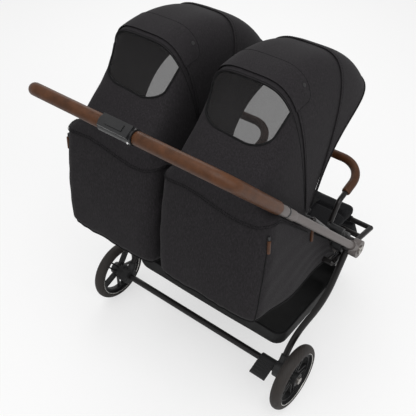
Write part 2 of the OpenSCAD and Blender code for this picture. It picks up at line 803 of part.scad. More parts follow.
module rear_wheel() {
  color("#1b1b1c") on_x([track_half, axle_y, rear_r]) difference() {
    union() {
      spoked_wheel(rear_rim_r, rear_w, rod_r + run_gap, hub_face_x - track_half, rear_w / 2);
      translate([0, 0, hub_face_x - track_half]) difference() {
        cylinder(h = flange_t, r = case_r);
        translate([0, 0, -over]) cylinder(h = flange_t + 2 * over, r = rod_r + run_gap);
      }
    }
    for (i = [1:brake_holes]) rotate([0, 0, 360 * i / brake_holes])
      translate([brake_ring_r, 0, hub_face_x - track_half - over])
        cylinder(h = brake_hole_depth + over, r = brake_hole_r);
  }
}

module rear_tyre() {
  color("#171615") on_x([track_half, axle_y, rear_r]) tyre(rear_r, rear_rim_r, rear_w);
}

// Caster: stem, crown and two fork blades that lean back to the wheel
module caster() {
  inner = front_w / 2 + fork_gap;
  z = 2 * front_r + wheel_gap;
  color("#1d1d1f") translate([caster_x, swivel_y, 0]) difference() {
    union() {
      translate([0, 0, z]) cylinder(h = crown_t + sleeve_h - seat_gap, r = stem_r);
      translate([0, 0, z]) cylinder(h = crown_t, r = inner + fork_t);
      for (x = [-inner - fork_t, inner]) {
        on_x([x, trail, front_r]) cylinder(h = fork_t, r = fork_foot_r);
        translate([x, 0, 0]) across_from(fork_t, [[-fork_foot_r, z + crown_t], [fork_foot_r, z + crown_t],
          [trail + fork_foot_r, front_r], [trail - fork_foot_r, front_r]]);
      }
    }
    on_x([-2 * inner, trail, front_r]) cylinder(h = 4 * inner, r = front_rod_r + run_gap);
  }
}

// A side view drawn as [y, z] points, given its thickness along x from zero
module across_from(t, points) {
  translate([t, 0, 0]) rotate([0, -90, 0]) linear_extrude(t) polygon([for (p = points) [p[1], p[0]]]);
}

module front_axle() {
  half = front_w / 2 + fork_gap + fork_t;
  color("#9a9896") on_x([caster_x - half, swivel_y + trail, front_r]) cylinder(h = 2 * half, r = front_rod_r);
}

module front_wheel() {
  half = front_w / 2 + fork_gap - seat_gap;
  color("#1b1b1c") on_x([caster_x, swivel_y + trail, front_r])
    spoked_wheel(front_rim_r, front_w, front_rod_r + run_gap, -half, half);
}

module front_tyre() {
  color("#171615") on_x([caster_x, swivel_y + trail, front_r]) tyre(front_r, front_rim_r, front_w);
}

// Push frame

function mirror_x(p) = [-p[0], p[1], p[2]];

module push_tube() {
  start = arm_end + arm_dir * (plug_start + seat_gap);
  color("#6b6462")
    pipe([start, bar_end, mirror_x(bar_end), mirror_x(start)], [bend_r, bend_r], push_r, 0);
}

// Leather sleeve over half the bar, its bend and the top of the arm
module grip() {
  low = bar_end - arm_dir * grip_down;
  mid = [button_half + seat_gap, handle_y, handle_z];
  color("#5f3c23") pipe([low, bar_end, mid], [bend_r], push_r + grip_wall, push_r + seat_gap);
}

// Where the fold button lies: on the bar's middle, leaning back
module button_place() {
  translate([0, handle_y, handle_z]) rotate([-button_tilt, 0, 0]) children();
}

module button_housing() {
  color("#18181a") difference() {
    union() {
      on_x([-button_half, handle_y, handle_z]) cylinder(h = 2 * button_half, r = button_r);
      button_place() translate([-button_half + over, -button_w, 0])
        cube([2 * (button_half - over), 2 * button_w, button_r + over / 2]);
    }
    on_x([-button_half - over, handle_y, handle_z]) cylinder(h = 2 * (button_half + over), r = push_r + run_gap);
    button_place() translate([-button_l / 2 - seat_gap, -button_w / 2 - seat_gap, push_r])
      cube([button_l + 2 * seat_gap, button_w + 2 * seat_gap, button_r]);
  }
}

module fold_button() {
  color("#2b2b2d") button_place() translate([-button_l / 2, -button_w / 2, button_low])
    cube([button_l, button_w, button_r + over - button_low]);
}

// Hinge end of a push arm: disc, socket for the tube and bore for the pin
module arm_knuckle() {
  color("#4a4645") difference() {
    union() {
      on_x([arm_x - push_r, hinge_y, hinge_z]) cylinder(h = 2 * push_r, r = knuckle_r);
      intersection() {
        rod(arm_end + arm_dir * plug_start, arm_end + arm_dir * boss_len, push_r + boss_wall);
        on_x([rear_leg_x + leg_r + seat_gap, hinge_y, hinge_z])
          cylinder(h = arm_x + push_r - rear_leg_x - leg_r - seat_gap, r = 2 * boss_len);
      }
    }
    on_x([arm_x - 2 * push_r, hinge_y, hinge_z]) cylinder(h = 4 * push_r, r = pin_r + run_gap);
    rod(arm_end + arm_dir * plug_start, arm_end + arm_dir * (boss_len + over), push_r + run_gap);
  }
}

// Bumper bars

function bumper_foot() = [bumper_half + bumper_eye_t / 2, bumper_y, bumper_z];
function bumper_knee_at() = bumper_foot() + [0, -bumper_lean, bumper_rise];
function bumper_corner() = bumper_foot() + [0, -bumper_reach, bumper_lift];

module bumper_tube(s) {
  foot = bumper_foot();
  knee = bumper_knee_at();
  corner = bumper_corner();
  color("#6b6462") translate([s * seat_x, 0, 0]) difference() {
    union() {
      pipe([foot, knee, corner, mirror_x(corner), mirror_x(knee), mirror_x(foot)],
           [bumper_knee, bumper_bend, bumper_bend, bumper_knee], bumper_r, 0);
      for (x = [bumper_half, -bumper_half - bumper_eye_t]) on_x([x, bumper_y, bumper_z])
        cylinder(h = bumper_eye_t, r = bumper_eye_r);
    }
    on_x([-seat_half, bumper_y, bumper_z]) cylinder(h = 2 * seat_half, r = pivot_r + run_gap);
    for (x = [bumper_half + bumper_eye_t, bumper_half - bumper_r,
              -bumper_half - bumper_eye_t - bumper_r, -bumper_half]) on_x([x, bumper_y, bumper_z])
      cylinder(h = bumper_r, r = bumper_eye_r + seat_gap);
  }
}

// Leather sleeve over the front of a bumper bar
sleeve_start = 34;

module bumper_sleeve(s) {
  d = unit(bumper_corner() - bumper_knee_at());
  start = bumper_knee_at() + d * sleeve_start;
  corner = bumper_corner();
  color("#5f3c23") translate([s * seat_x, 0, 0])
    pipe([start, corner, mirror_x(corner), mirror_x(start)], [bumper_bend, bumper_bend],
         bumper_r + sleeve_wall, bumper_r + seat_gap);
}

// Each piece under its node's name
side(1) front_leg();  // front_leg_left
side(-1) front_leg();  // front_leg_right
front_crossbar();
footrest();
side(1) hinge_hub();  // hinge_hub_left
side(-1) hinge_hub();  // hinge_hub_right
side(1) hinge_pin();  // hinge_pin_left
side(-1) hinge_pin();  // hinge_pin_right
seat_frame();
center_post();
side(1) canopy_post();  // canopy_post_left
side(-1) canopy_post();  // canopy_post_right
canopy_pins();
basket();
seat_pad(1);  // seat_pad_left
seat_pad(-1);  // seat_pad_right
seat_shell(1);  // seat_shell_left
seat_shell(-1);  // seat_shell_right
canopy_hood(1);  // canopy_hood_left
canopy_hood(-1);  // canopy_hood_right
side(1) rear_leg();  // rear_leg_left
side(-1) rear_leg();  // rear_leg_right
rear_axle();
axle_rod();
side(1) brake_case();  // brake_case_left
side(-1) brake_case();  // brake_case_right
brake_pedal();
side(1) brake_pin();  // brake_pin_left
side(-1) brake_pin();  // brake_pin_right
side(1) rear_tyre();  // rear_tyre_left
side(-1) rear_tyre();  // rear_tyre_right
side(1) rear_wheel();  // rear_wheel_left
side(-1) rear_wheel();  // rear_wheel_right
side(1) caster();  // caster_left
side(-1) caster();  // caster_right
side(1) front_tyre();  // front_tyre_left
side(-1) front_tyre();  // front_tyre_right
side(1) front_wheel();  // front_wheel_left
side(-1) front_wheel();  // front_wheel_right
side(1) front_axle();  // front_axle_left
side(-1) front_axle();  // front_axle_right
push_tube();
side(1) grip();  // grip_left
side(-1) grip();  // grip_right
button_housing();
fold_button();
side(1) arm_knuckle();  // arm_knuckle_left
side(-1) arm_knuckle();  // arm_knuckle_right
canopy_mid(1);  // canopy_mid_left
canopy_mid(-1);  // canopy_mid_right
canopy_visor(1);  // canopy_visor_left
canopy_visor(-1);  // canopy_visor_right
bumper_tube(1);  // bumper_tube_left
bumper_tube(-1);  // bumper_tube_right
bumper_sleeve(1);  // bumper_sleeve_left
bumper_sleeve(-1);  // bumper_sleeve_right
leg_rest(1);  // leg_rest_left
leg_rest(-1);  // leg_rest_right
backrest(1);  // backrest_left
backrest(-1);  // backrest_right
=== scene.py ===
import math

import bpy
from mathutils import Matrix, Vector


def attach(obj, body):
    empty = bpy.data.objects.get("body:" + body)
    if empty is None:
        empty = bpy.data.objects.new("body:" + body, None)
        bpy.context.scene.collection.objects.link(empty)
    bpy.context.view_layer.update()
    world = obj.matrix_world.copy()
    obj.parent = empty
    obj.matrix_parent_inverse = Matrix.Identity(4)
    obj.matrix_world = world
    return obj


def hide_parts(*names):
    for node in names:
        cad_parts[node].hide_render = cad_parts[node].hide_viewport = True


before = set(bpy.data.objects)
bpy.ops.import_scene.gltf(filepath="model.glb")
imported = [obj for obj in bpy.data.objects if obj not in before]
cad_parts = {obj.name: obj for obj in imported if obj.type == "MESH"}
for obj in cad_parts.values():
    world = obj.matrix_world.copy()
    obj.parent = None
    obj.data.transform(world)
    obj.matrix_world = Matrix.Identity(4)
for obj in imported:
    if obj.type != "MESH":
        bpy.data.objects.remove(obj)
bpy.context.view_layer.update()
bpy.ops.object.select_all(action="DESELECT")

# Floor, light and camera
# A seamless pale floor of paper under three large soft lamps. The camera looks down on the stroller's back from its
# right, at the place and lens that were worked out from the photograph.
camera_aim = Vector((0.4683, -0.5934, -0.6546))
camera = bpy.data.objects.new("camera", bpy.data.cameras.new("camera"))
bpy.context.collection.objects.link(camera)
camera.location = (-0.8802, 1.2197, 1.7675)
camera.rotation_euler = camera_aim.to_track_quat("-Z", "Y").to_euler()
camera.data.lens = 58.54
bpy.context.scene.camera = camera
bpy.context.scene.view_settings.view_transform = "Standard"


def linear(colour):
    """The linear colour of an sRGB hex value"""
    channels = [int(colour[i:i + 2], 16) / 255 for i in (1, 3, 5)]
    return [c / 12.92 if c <= 0.04045 else ((c + 0.055) / 1.055) ** 2.4 for c in channels] + [1.0]


def add(tree, kind, inputs=None, **settings):
    """Adds one node. A socket among the inputs is linked, any other value is set."""
    node = tree.nodes.new("ShaderNode" + kind)
    for name, value in settings.items():
        setattr(node, name, value)
    for name, value in (inputs or {}).items():
        if isinstance(value, bpy.types.NodeSocket):
            tree.links.new(value, node.inputs[name])
        else:
            node.inputs[name].default_value = value
    return node


def seen_directly(tree):
    """1 for what the camera sees straight on or through a net, and 0 for light"""
    rays = add(tree, "LightPath").outputs
    seen = add(tree, "Math", {0: rays["Is Camera Ray"], 1: rays["Is Transmission Ray"]}, operation="MAXIMUM")
    return seen.outputs[0]


world = bpy.data.worlds.new("studio")
bpy.context.scene.world = world
world.use_nodes = True
sky = world.node_tree
sky.nodes.clear()
soft_light = add(sky, "Background", {"Color": linear("#ffffff"), "Strength": 0.5})
backdrop = add(sky, "Background", {"Color": linear("#ffffff"), "Strength": 1.0})
studio = add(sky, "MixShader", {0: seen_directly(sky), 1: soft_light.outputs[0], 2: backdrop.outputs[0]})
add(sky, "OutputWorld", {"Surface": studio.outputs[0]})

lamp_aim = Vector((0, 0, 0.5))
lamps = (((-0.4, 1.0, 3.2), 2.6, 44), ((-2.4, 0.6, 1.9), 1.8, 16), ((1.6, -1.9, 2.0), 1.8, 14))
for lamp_place, lamp_size, watts in lamps:
    bpy.ops.object.light_add(type="AREA", location=lamp_place)
    lamp = bpy.context.object
    lamp.rotation_euler = (lamp_aim - lamp.location).to_track_quat("-Z", "Y").to_euler()
    lamp.data.size = lamp_size
    lamp.data.energy = watts

bpy.ops.mesh.primitive_plane_add(size=14)
floor = bpy.context.object
floor.name = "floor"
paper = bpy.data.materials.new("white paper roll")
paper.use_nodes = True
roll = paper.node_tree
roll.nodes.clear()
matt = add(roll, "BsdfDiffuse", {"Color": linear("#f2f2f2")})
glow = add(roll, "Emission", {"Color": linear("#ffffff"), "Strength": 1.1})
half_seen = add(roll, "Math", {0: seen_directly(roll), 1: 0.55}, operation="MULTIPLY")
paper_mix = add(roll, "MixShader", {0: half_seen.outputs[0], 1: matt.outputs[0], 2: glow.outputs[0]})
add(roll, "OutputMaterial", {"Surface": paper_mix.outputs[0]})
floor.data.materials.append(paper)


# Painted tubes of the chassis
# Drawn aluminium tube under powder coat: near black on the legs, axle and seat frame, warm graphite on the push
# arms. The legs plug into moulded hubs and end blocks, and the push bar is one tube bent at its two corners.
def finish(name):
    """A new material with its nodes, its shader and the coordinates of the piece that wears it"""
    material = bpy.data.materials.new(name)
    material.use_nodes = True
    tree = material.node_tree
    return material, tree, tree.nodes["Principled BSDF"], add(tree, "TexCoord").outputs["Object"]


def noise(tree, place, size, detail, roughness=0.5):
    """Clouds of about the given size"""
    clouds = add(tree, "TexNoise", {"Vector": place, "Scale": 1 / size, "Detail": detail, "Roughness": roughness})
    return clouds.outputs["Fac"]


def tint(tree, shader, share, colour, other):
    """A colour that goes from one to another with a texture"""
    tone = add(tree, "Mix", {0: share, 6: colour, 7: other}, data_type="RGBA")
    tree.links.new(tone.outputs[2], shader.inputs["Base Color"])


def roughen(tree, shader, share, low, high):
    """A roughness that goes from low to high with a texture"""
    rough = add(tree, "MapRange", {"Value": share, "To Min": low, "To Max": high})
    tree.links.new(rough.outputs[0], shader.inputs["Roughness"])


def emboss(tree, shader, height, strength, depth):
    """Fine relief that follows a texture"""
    bump = add(tree, "Bump", {"Height": height, "Strength": strength, "Distance": depth})
    tree.links.new(bump.outputs[0], shader.inputs["Normal"])


def powder_coat(name, colour, metallic, roughness):
    """Baked powder: an even satin skin with the faint orange peel of about 1.5 mm that such a coat keeps"""
    material, tree, shader, place = finish(name)
    shader.inputs["Metallic"].default_value = metallic
    peel, patch = noise(tree, place, 0.0015, 2.0), noise(tree, place, 0.05, 3.0)
    roughen(tree, shader, patch, roughness - 0.06, roughness + 0.06)
    tint(tree, shader, patch, linear(colour), [min(1.0, c * 1.25) for c in linear(colour)[:3]] + [1.0])
    emboss(tree, shader, peel, 0.08, 0.0003)
    return material


def dress(material, *nodes):
    """Gives CAD nodes their finish"""
    for node in nodes:
        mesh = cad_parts[node].data
        mesh.materials.clear()
        mesh.materials.append(material)


def both(*names):
    """The left and the right node of each name"""
    return [f"{name}_{side}" for name in names for side in ("left", "right")]


graphite_coat = powder_coat("graphite powder coat", "#6a6462", 0.45, 0.42)
black_coat = powder_coat("black powder coat", "#1d1b1b", 0.3, 0.3)
dress(black_coat, "front_crossbar", "rear_axle", "seat_frame", "center_post", *both("front_leg", "canopy_post"))
dress(graphite_coat, *both("arm_knuckle"))


def rounded(corners, bends):
    """Points along straight runs with an arc of the given radius at each inner corner"""
    points = [Vector(corners[0])]
    for i, bend in enumerate(bends, 1):
        corner = Vector(corners[i])
        a = (corner - Vector(corners[i - 1])).normalized()
        b = (Vector(corners[i + 1]) - corner).normalized()
        angle = a.angle(b)
        inward = (b - a * a.dot(b)).normalized()
        centre = corner - a * bend * math.tan(angle / 2) + inward * bend
        points += [centre + bend * (a * math.sin(turn) - inward * math.cos(turn))
                   for turn in (angle * k / 14 for k in range(15))]
    return points + [Vector(corners[-1])]


def pick(piece):
    """Makes a piece the one that the next operators work on"""
    bpy.ops.object.select_all(action="DESELECT")
    bpy.context.view_layer.objects.active = piece
    piece.select_set(True)


def tube(name, points, radius, hem=0.0):
    """A round tube through points as a closed mesh. A hem rounds its two ends off by that much."""
    curve = bpy.data.curves.new(name, "CURVE")
    curve.dimensions = "3D"
    curve.bevel_depth = radius
    curve.bevel_resolution = 6 if radius > 0.004 else 2
    curve.use_fill_caps = True
    points = [Vector(p) for p in points]
    radii = [1.0] * len(points)
    if hem:
        first, last = (points[1] - points[0]).normalized(), (points[-2] - points[-1]).normalized()
        points = [points[0], points[0] + first * hem / 3, points[0] + first * hem, *points[1:-1],
                  points[-1] + last * hem, points[-1] + last * hem / 3, points[-1]]
        tip, shoulder = 1 - hem / radius * 0.45, 1 - hem / radius * 0.15
        radii = [tip, shoulder, *[1.0] * (len(points) - 4), shoulder, tip]
    spline = curve.splines.new("POLY")
    spline.points.add(len(points) - 1)
    for knot, point, share in zip(spline.points, points, radii):
        knot.co = (*point, 1)
        knot.radius = share
    made = bpy.data.objects.new(name, curve)
    bpy.context.collection.objects.link(made)
    pick(made)
    bpy.ops.object.convert(target="MESH")
    made = bpy.context.object
    bpy.ops.object.mode_set(mode="EDIT")
    bpy.ops.mesh.select_all(action="SELECT")
    bpy.ops.mesh.remove_doubles(threshold=1e-6)
    bpy.ops.mesh.normals_make_consistent(inside=False)
    bpy.ops.object.mode_set(mode="OBJECT")
    bpy.ops.object.shade_smooth_by_angle(angle=math.radians(40))
    return made


def settle(piece, material, body):
    """Finish, material slot and body of a finished piece"""
    piece.data.materials.clear()
    piece.data.materials.append(material)
    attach(piece, body)
    return piece


def shaped(piece, kind, **settings):
    """Gives the active piece a modifier with these settings and applies it"""
    modifier = piece.modifiers.new(kind, kind)
    for name, value in settings.items():
        setattr(modifier, name, value)
    bpy.ops.object.modifier_apply(modifier=kind)


def eased(name, edge=0.0, steps=3):
    """Names the solid that was just added, sets its place into its mesh and rounds its edges off"""
    piece = bpy.context.object
    piece.name = name
    bpy.ops.object.transform_apply(location=True, rotation=True, scale=True)
    if edge:
        shaped(piece, "BEVEL", width=edge, segments=steps)
    bpy.ops.object.shade_smooth_by_angle(angle=math.radians(40))
    return piece


sides = (("left", 1), ("right", -1))
across = Vector((-1, 1, 1))
crosswise = (0, math.pi / 2, 0)
hinge = Vector((0.368, -0.095, 0.452))
bar_corner = Vector((0.285, 0.406, 0.960))
arm = (bar_corner - hinge).normalized()
bar_radius, bar_bend, bow_bend = 0.011, 0.042, 6.0
arm_start = hinge + arm * 0.0183
# The arms bow out a little where they pass the seat frame when folded
arm_bow = hinge + arm * 0.212 + Vector((0.0017, 0, 0))
bar_corners = [arm_start, arm_bow, bar_corner, bar_corner * across, arm_bow * across, arm_start * across]
push_bar = tube("push_bar", rounded(bar_corners, [bow_bend, bar_bend, bar_bend, bow_bend]), bar_radius)
settle(push_bar, graphite_coat, "push_frame")
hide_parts("push_tube")

leg_radius, leg_bend = 0.0095, 0.42
disc_radius, disc_width = 0.023, 0.0175
leg_top, leg_foot = Vector((0.345, -0.095, 0.452)), Vector((0.345, 0.150, 0.105))
inwards = Vector((-0.040, 0, 0))
knee, ankle = leg_top.lerp(leg_foot, 0.41), leg_top.lerp(leg_foot, 0.75) + inwards
leg_end = (leg_foot + inwards).lerp(ankle, 0.015 / (leg_foot + inwards - ankle).length)
leg_corners = (leg_top.lerp(knee, 0.1), knee, ankle, leg_end)
for side, s in sides:
    flip = Vector((s, 1, 1))
    leg_path = rounded([p * flip for p in leg_corners], [leg_bend, leg_bend])
    leg = settle(tube(f"rear_leg_tube_{side}", leg_path, leg_radius), black_coat, "rear_frame")
    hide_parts(f"rear_leg_{side}")
    bpy.ops.mesh.primitive_cylinder_add(vertices=64, radius=disc_radius, depth=disc_width, rotation=crosswise,
                                        location=leg_top * flip)
    settle(eased(f"rear_leg_disc_{side}", 0.0016), black_coat, "rear_frame")


# Moulded plastics
# Injection-moulded nylon and ABS: hinge hubs, brake cases, casters, wheel centres, footrest and the button housing.
# They are screwed or riveted to the tubes and carry a fine spark-eroded grain.
def moulded(name, colour, roughness):
    """Grained black moulding: matt, with a grain of about 0.9 mm drawn a little coarse so that it shows"""
    material, tree, shader, place = finish(name)
    grain = add(tree, "TexVoronoi", {"Vector": place, "Scale": 1 / 0.0009})
    cloud = noise(tree, place, 0.03, 4.0)
    roughen(tree, shader, cloud, roughness - 0.08, roughness + 0.08)
    tint(tree, shader, cloud, linear(colour), [c * 1.5 + 0.002 for c in linear(colour)[:3]] + [1.0])
    emboss(tree, shader, grain.outputs["Distance"], 0.12, 0.0002)
    return material


black_moulding = moulded("grained black nylon", "#1a1a1b", 0.5)
satin_moulding = moulded("satin black ABS", "#1b1b1c", 0.34)
dress(black_moulding, "footrest", "canopy_pins", "brake_pedal",
      *both("hinge_hub", "brake_case", "rear_wheel", "caster", "front_wheel"))
dress(satin_moulding, "button_housing", "fold_button")

# Plated steel
# Turned hinge pins, the axle rod with its caps, the brake pins and the front axles. All are zinc plated, barrel
# polished and pressed or pushed into the mouldings that they join.
plated = powder_coat("zinc-plated steel", "#a5a19c", 0.95, 0.32)
dress(plated, "axle_rod", *both("hinge_pin", "brake_pin", "front_axle"))


# Tyres and rim rings
# Foam-filled rubber tyres stretched onto the wheel centres, with a matt tread of shallow cross grooves. Each rear
# wheel carries a thin bright ring pressed into each edge of its rim.
def tyre_rubber(name, centre, grooves):
    """Carbon-black rubber with a brown bloom, and tread grooves counted round its own wheel"""
    material, tree, shader, place = finish(name)
    about_hub = add(tree, "Mapping", {"Vector": place, "Location": [-c for c in centre]})
    axes = add(tree, "SeparateXYZ", {0: about_hub.outputs[0]}).outputs
    turn = add(tree, "Math", {0: axes["Y"], 1: axes["Z"]}, operation="ARCTAN2")
    lean = add(tree, "Math", {0: axes["X"], 1: 14.0, 2: turn.outputs[0]}, operation="MULTIPLY_ADD")
    wave = add(tree, "Math", {0: lean.outputs[0], 1: float(grooves)}, operation="MULTIPLY")
    tread = add(tree, "Math", {0: wave.outputs[0]}, operation="SINE")
    bloom = noise(tree, place, 0.02, 5.0)
    tint(tree, shader, bloom, linear("#191716"), linear("#322b27"))
    roughen(tree, shader, bloom, 0.55, 0.75)
    emboss(tree, shader, tread.outputs[0], 0.35, 0.0008)
    return material


bright_ring = powder_coat("polished aluminium", "#d8d6d2", 1.0, 0.24)
rear_wheel, front_wheel = Vector((0.350, 0.150, 0.105)), Vector((0.185, -0.352, 0.078))
ring_radius, ring_wire, ring_off = 0.0845, 0.0014, 0.0152
for side, s in sides:
    flip = Vector((s, 1, 1))
    dress(tyre_rubber(f"rear tyre rubber {side}", rear_wheel * flip, 72), f"rear_tyre_{side}")
    dress(tyre_rubber(f"front tyre rubber {side}", front_wheel * flip, 56), f"front_tyre_{side}")
    for face, off in (("outer", ring_off), ("inner", -ring_off)):
        bpy.ops.mesh.primitive_torus_add(location=(rear_wheel + Vector((off, 0, 0))) * flip, rotation=crosswise,
                                         major_radius=ring_radius, minor_radius=ring_wire, major_segments=120,
                                         minor_segments=10)
        ring = bpy.context.object
        ring.name = f"rim_ring_{side}_{face}"
        bpy.ops.object.transform_apply(location=True, rotation=True, scale=True)
        bpy.ops.object.shade_smooth()
        settle(ring, bright_ring, f"rear_wheel_{side}")


# Leather grips, bumper covers and collars
# Brown leatherette wrapped round foam, closed by a row of stitches on the under side. The grips cover the bar, its
# bends and the top of the arms, and end in a grey collar with a black ring. Covers of the same hide wrap the bumpers.
def ramp(tree, shader, share, first, last, *inner):
    """A colour that goes through stops of (place, colour) with a texture"""
    tone = add(tree, "ValToRGB", {"Fac": share})
    for stop, (at, colour) in zip(tone.color_ramp.elements, (first, last)):
        stop.position = at
        stop.color = linear(colour)
    for at, colour in inner:
        tone.color_ramp.elements.new(at).color = linear(colour)
    tree.links.new(tone.outputs[0], shader.inputs["Base Color"])


def hide(name):
    """Pebbled leatherette: a grain of about 1.6 mm, with a soft waxy gloss and paler rubbed patches"""
    material, tree, shader, place = finish(name)
    shader.inputs["Specular IOR Level"].default_value = 0.28
    pebble = add(tree, "TexVoronoi", {"Vector": place, "Scale": 1 / 0.0016})
    rub = noise(tree, place, 0.028, 6.0, 0.65)
    ramp(tree, shader, rub, (0.3, "#402614"), (0.72, "#5b3821"))
    roughen(tree, shader, rub, 0.36, 0.52)
    emboss(tree, shader, pebble.outputs["Distance"], 0.2, 0.0004)
    return material


def stitches(name, path, spacing, radius):
    """A row of thread stitches laid along a path"""
    path = [Vector(p) for p in path]
    vertices, faces, carry = [], [], 0.0
    for a, b in zip(path, path[1:]):
        run = (b - a).length
        if run < 1e-7:
            continue
        along = (b - a) / run
        beside = along.cross(Vector((0.3, 0.5, 0.8))).normalized()
        up = along.cross(beside)
        while carry < run:
            middle, n = a + along * carry, len(vertices)
            for end in (-0.32, 0.32):
                vertices += [middle + along * end * spacing + radius * (beside * math.cos(q) + up * math.sin(q))
                             for q in (k * math.tau / 6 for k in range(6))]
            vertices += [middle - along * 0.4 * spacing, middle + along * 0.4 * spacing]
            for k in range(6):
                m = (k + 1) % 6
                faces += [(n + k, n + m, n + 6 + m, n + 6 + k), (n + 12, n + m, n + k), (n + 13, n + 6 + k, n + 6 + m)]
            carry += spacing
        carry -= run
    mesh = bpy.data.meshes.new(name)
    mesh.from_pydata(vertices, [], faces)
    made = bpy.data.objects.new(name, mesh)
    bpy.context.collection.objects.link(made)
    mesh.shade_smooth()
    return made


brown_hide = hide("brown leatherette")
brown_thread = moulded("brown bonded thread", "#3a2415", 0.6)
hide_hem, hide_stitch, hide_thread = 0.004, 0.006, 0.0008
grip_radius, grip_start, grip_end = 0.016, bar_corner - arm * 0.222, Vector((0.0473, 0.406, 0.960))
collar_top, collar_hem = bar_corner - arm * 0.2225, 0.0015
collars = (("collar", 0.0, 0.034, 0.0138, graphite_coat), ("ring", 0.034, 0.040, 0.0146, satin_moulding),
           ("sleeve", 0.040, 0.078, 0.0132, graphite_coat))
for side, s in sides:
    flip = Vector((s, 1, 1))
    grip_path = rounded([grip_start * flip, bar_corner * flip, grip_end * flip], [bar_bend])
    grip = tube(f"leather_grip_{side}", grip_path, grip_radius, hem=hide_hem)
    settle(grip, brown_hide, "push_frame")
    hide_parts(f"grip_{side}")
    under = [p + Vector((-s * 0.004, -0.0112, -0.0112)) for p in grip_path]
    seam = stitches(f"grip_seam_{side}", under, hide_stitch, hide_thread)
    settle(seam, brown_thread, "push_frame")
    for part, start, end, radius, coat in collars:
        ends = [(collar_top - arm * start) * flip, (collar_top - arm * end) * flip]
        settle(tube(f"arm_{part}_{side}", ends, radius, hem=collar_hem), coat, "push_frame")

seat_x = 0.155
seats = [(side, s, Vector((s * seat_x, 0, 0))) for side, s in sides]
bumper_radius, cover_radius, cover_bend, knee_bend = 0.0075, 0.0125, 0.070, 0.022
eye_radius, eye_width = 0.011, 0.009
bumper_foot = Vector((0.1305, -0.074, 0.505))
bumper_knee = bumper_foot + Vector((0, -0.040, 0.062))
bumper_corner = bumper_foot + Vector((0, -0.175, 0.100))
cover_start = bumper_knee + (bumper_corner - bumper_knee).normalized() * 0.034
bar_start = bumper_foot.lerp(bumper_knee, 0.17)
bar_path = rounded([bar_start, bumper_knee, bumper_corner, bumper_corner * across, bumper_knee * across,
                    bar_start * across], [knee_bend, cover_bend, cover_bend, knee_bend])
cover_path = rounded([cover_start, bumper_corner, bumper_corner * across, cover_start * across],
                     [cover_bend, cover_bend])
for side, _, place in seats:
    body = f"bumper_{side}"
    bar = tube(f"bumper_bar_{side}", [p + place for p in bar_path], bumper_radius)
    settle(bar, black_coat, body)
    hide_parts(f"bumper_tube_{side}")
    cover = tube(f"bumper_cover_{side}", [p + place for p in cover_path], cover_radius, hem=hide_hem)
    settle(cover, brown_hide, body)
    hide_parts(f"bumper_sleeve_{side}")
    under = [p + place - Vector((0, 0, 0.0126)) for p in cover_path]
    seam = stitches(f"bumper_seam_{side}", under, hide_stitch, hide_thread)
    settle(seam, brown_thread, body)
    for eye, eye_place in (("outer", bumper_foot), ("inner", bumper_foot * across)):
        bpy.ops.mesh.primitive_cylinder_add(vertices=48, radius=eye_radius, depth=eye_width, rotation=crosswise,
                                            location=place + eye_place)
        settle(eased(f"bumper_eye_{eye}_{side}", 0.0012), black_moulding, body)


# Button trim
# A small domed rivet closes the end of the button housing. It is turned from brass and chromed, and pressed into the
# moulding.
chrome = powder_coat("chromed brass", "#dcdcdc", 1.0, 0.12)
rivet_place = (-0.040, 0.406 + 0.0178, 0.960 - 0.0062)
bpy.ops.mesh.primitive_uv_sphere_add(segments=24, ring_count=12, radius=0.0032, location=rivet_place)
rivet = bpy.context.object
rivet.name = "housing_rivet"
bpy.ops.object.transform_apply(location=True, rotation=True, scale=True)
bpy.ops.object.mode_set(mode="EDIT")
bpy.ops.mesh.select_all(action="SELECT")
bpy.ops.transform.resize(value=(1.0, 0.7, 1.0), center_override=rivet_place)
bpy.ops.object.mode_set(mode="OBJECT")
bpy.ops.object.shade_smooth()
settle(rivet, chrome, "push_frame")


# Seat bags
# Each seat is a bag of charcoal melange cloth, hung from the push arms' line, with a taut diagonal upper edge, a back
# wall that leans forward and a hem gathered by elastic. A zip with a leather pull closes it at the outer rear corner.
def melange(name, dark, mid, light):
    """Two-tone polyester: flecks of about 3 mm over a woven rib of 0.8 mm, which is drawn at 2.4 mm so that it shows"""
    material, tree, shader, place = finish(name)
    for socket, value in (("Roughness", 0.88), ("Sheen Weight", 0.03), ("Specular IOR Level", 0.15),
                          ("Sheen Roughness", 0.45)):
        shader.inputs[socket].default_value = value
    long_flecks = add(tree, "Mapping", {"Vector": place, "Scale": (1.0, 1.0, 0.35)})
    fleck = noise(tree, long_flecks.outputs[0], 0.003, 3.0, 0.7)
    ramp(tree, shader, fleck, (0.3, dark), (0.74, light), (0.52, mid))
    rib = add(tree, "TexWave", {"Vector": place, "Scale": math.tau / 20 / 0.0024, "Distortion": 1.2},
              bands_direction="DIAGONAL")
    weave = add(tree, "Math", {0: rib.outputs["Fac"], 1: fleck}, operation="ADD")
    emboss(tree, shader, weave.outputs[0], 0.22, 0.0006)
    return material


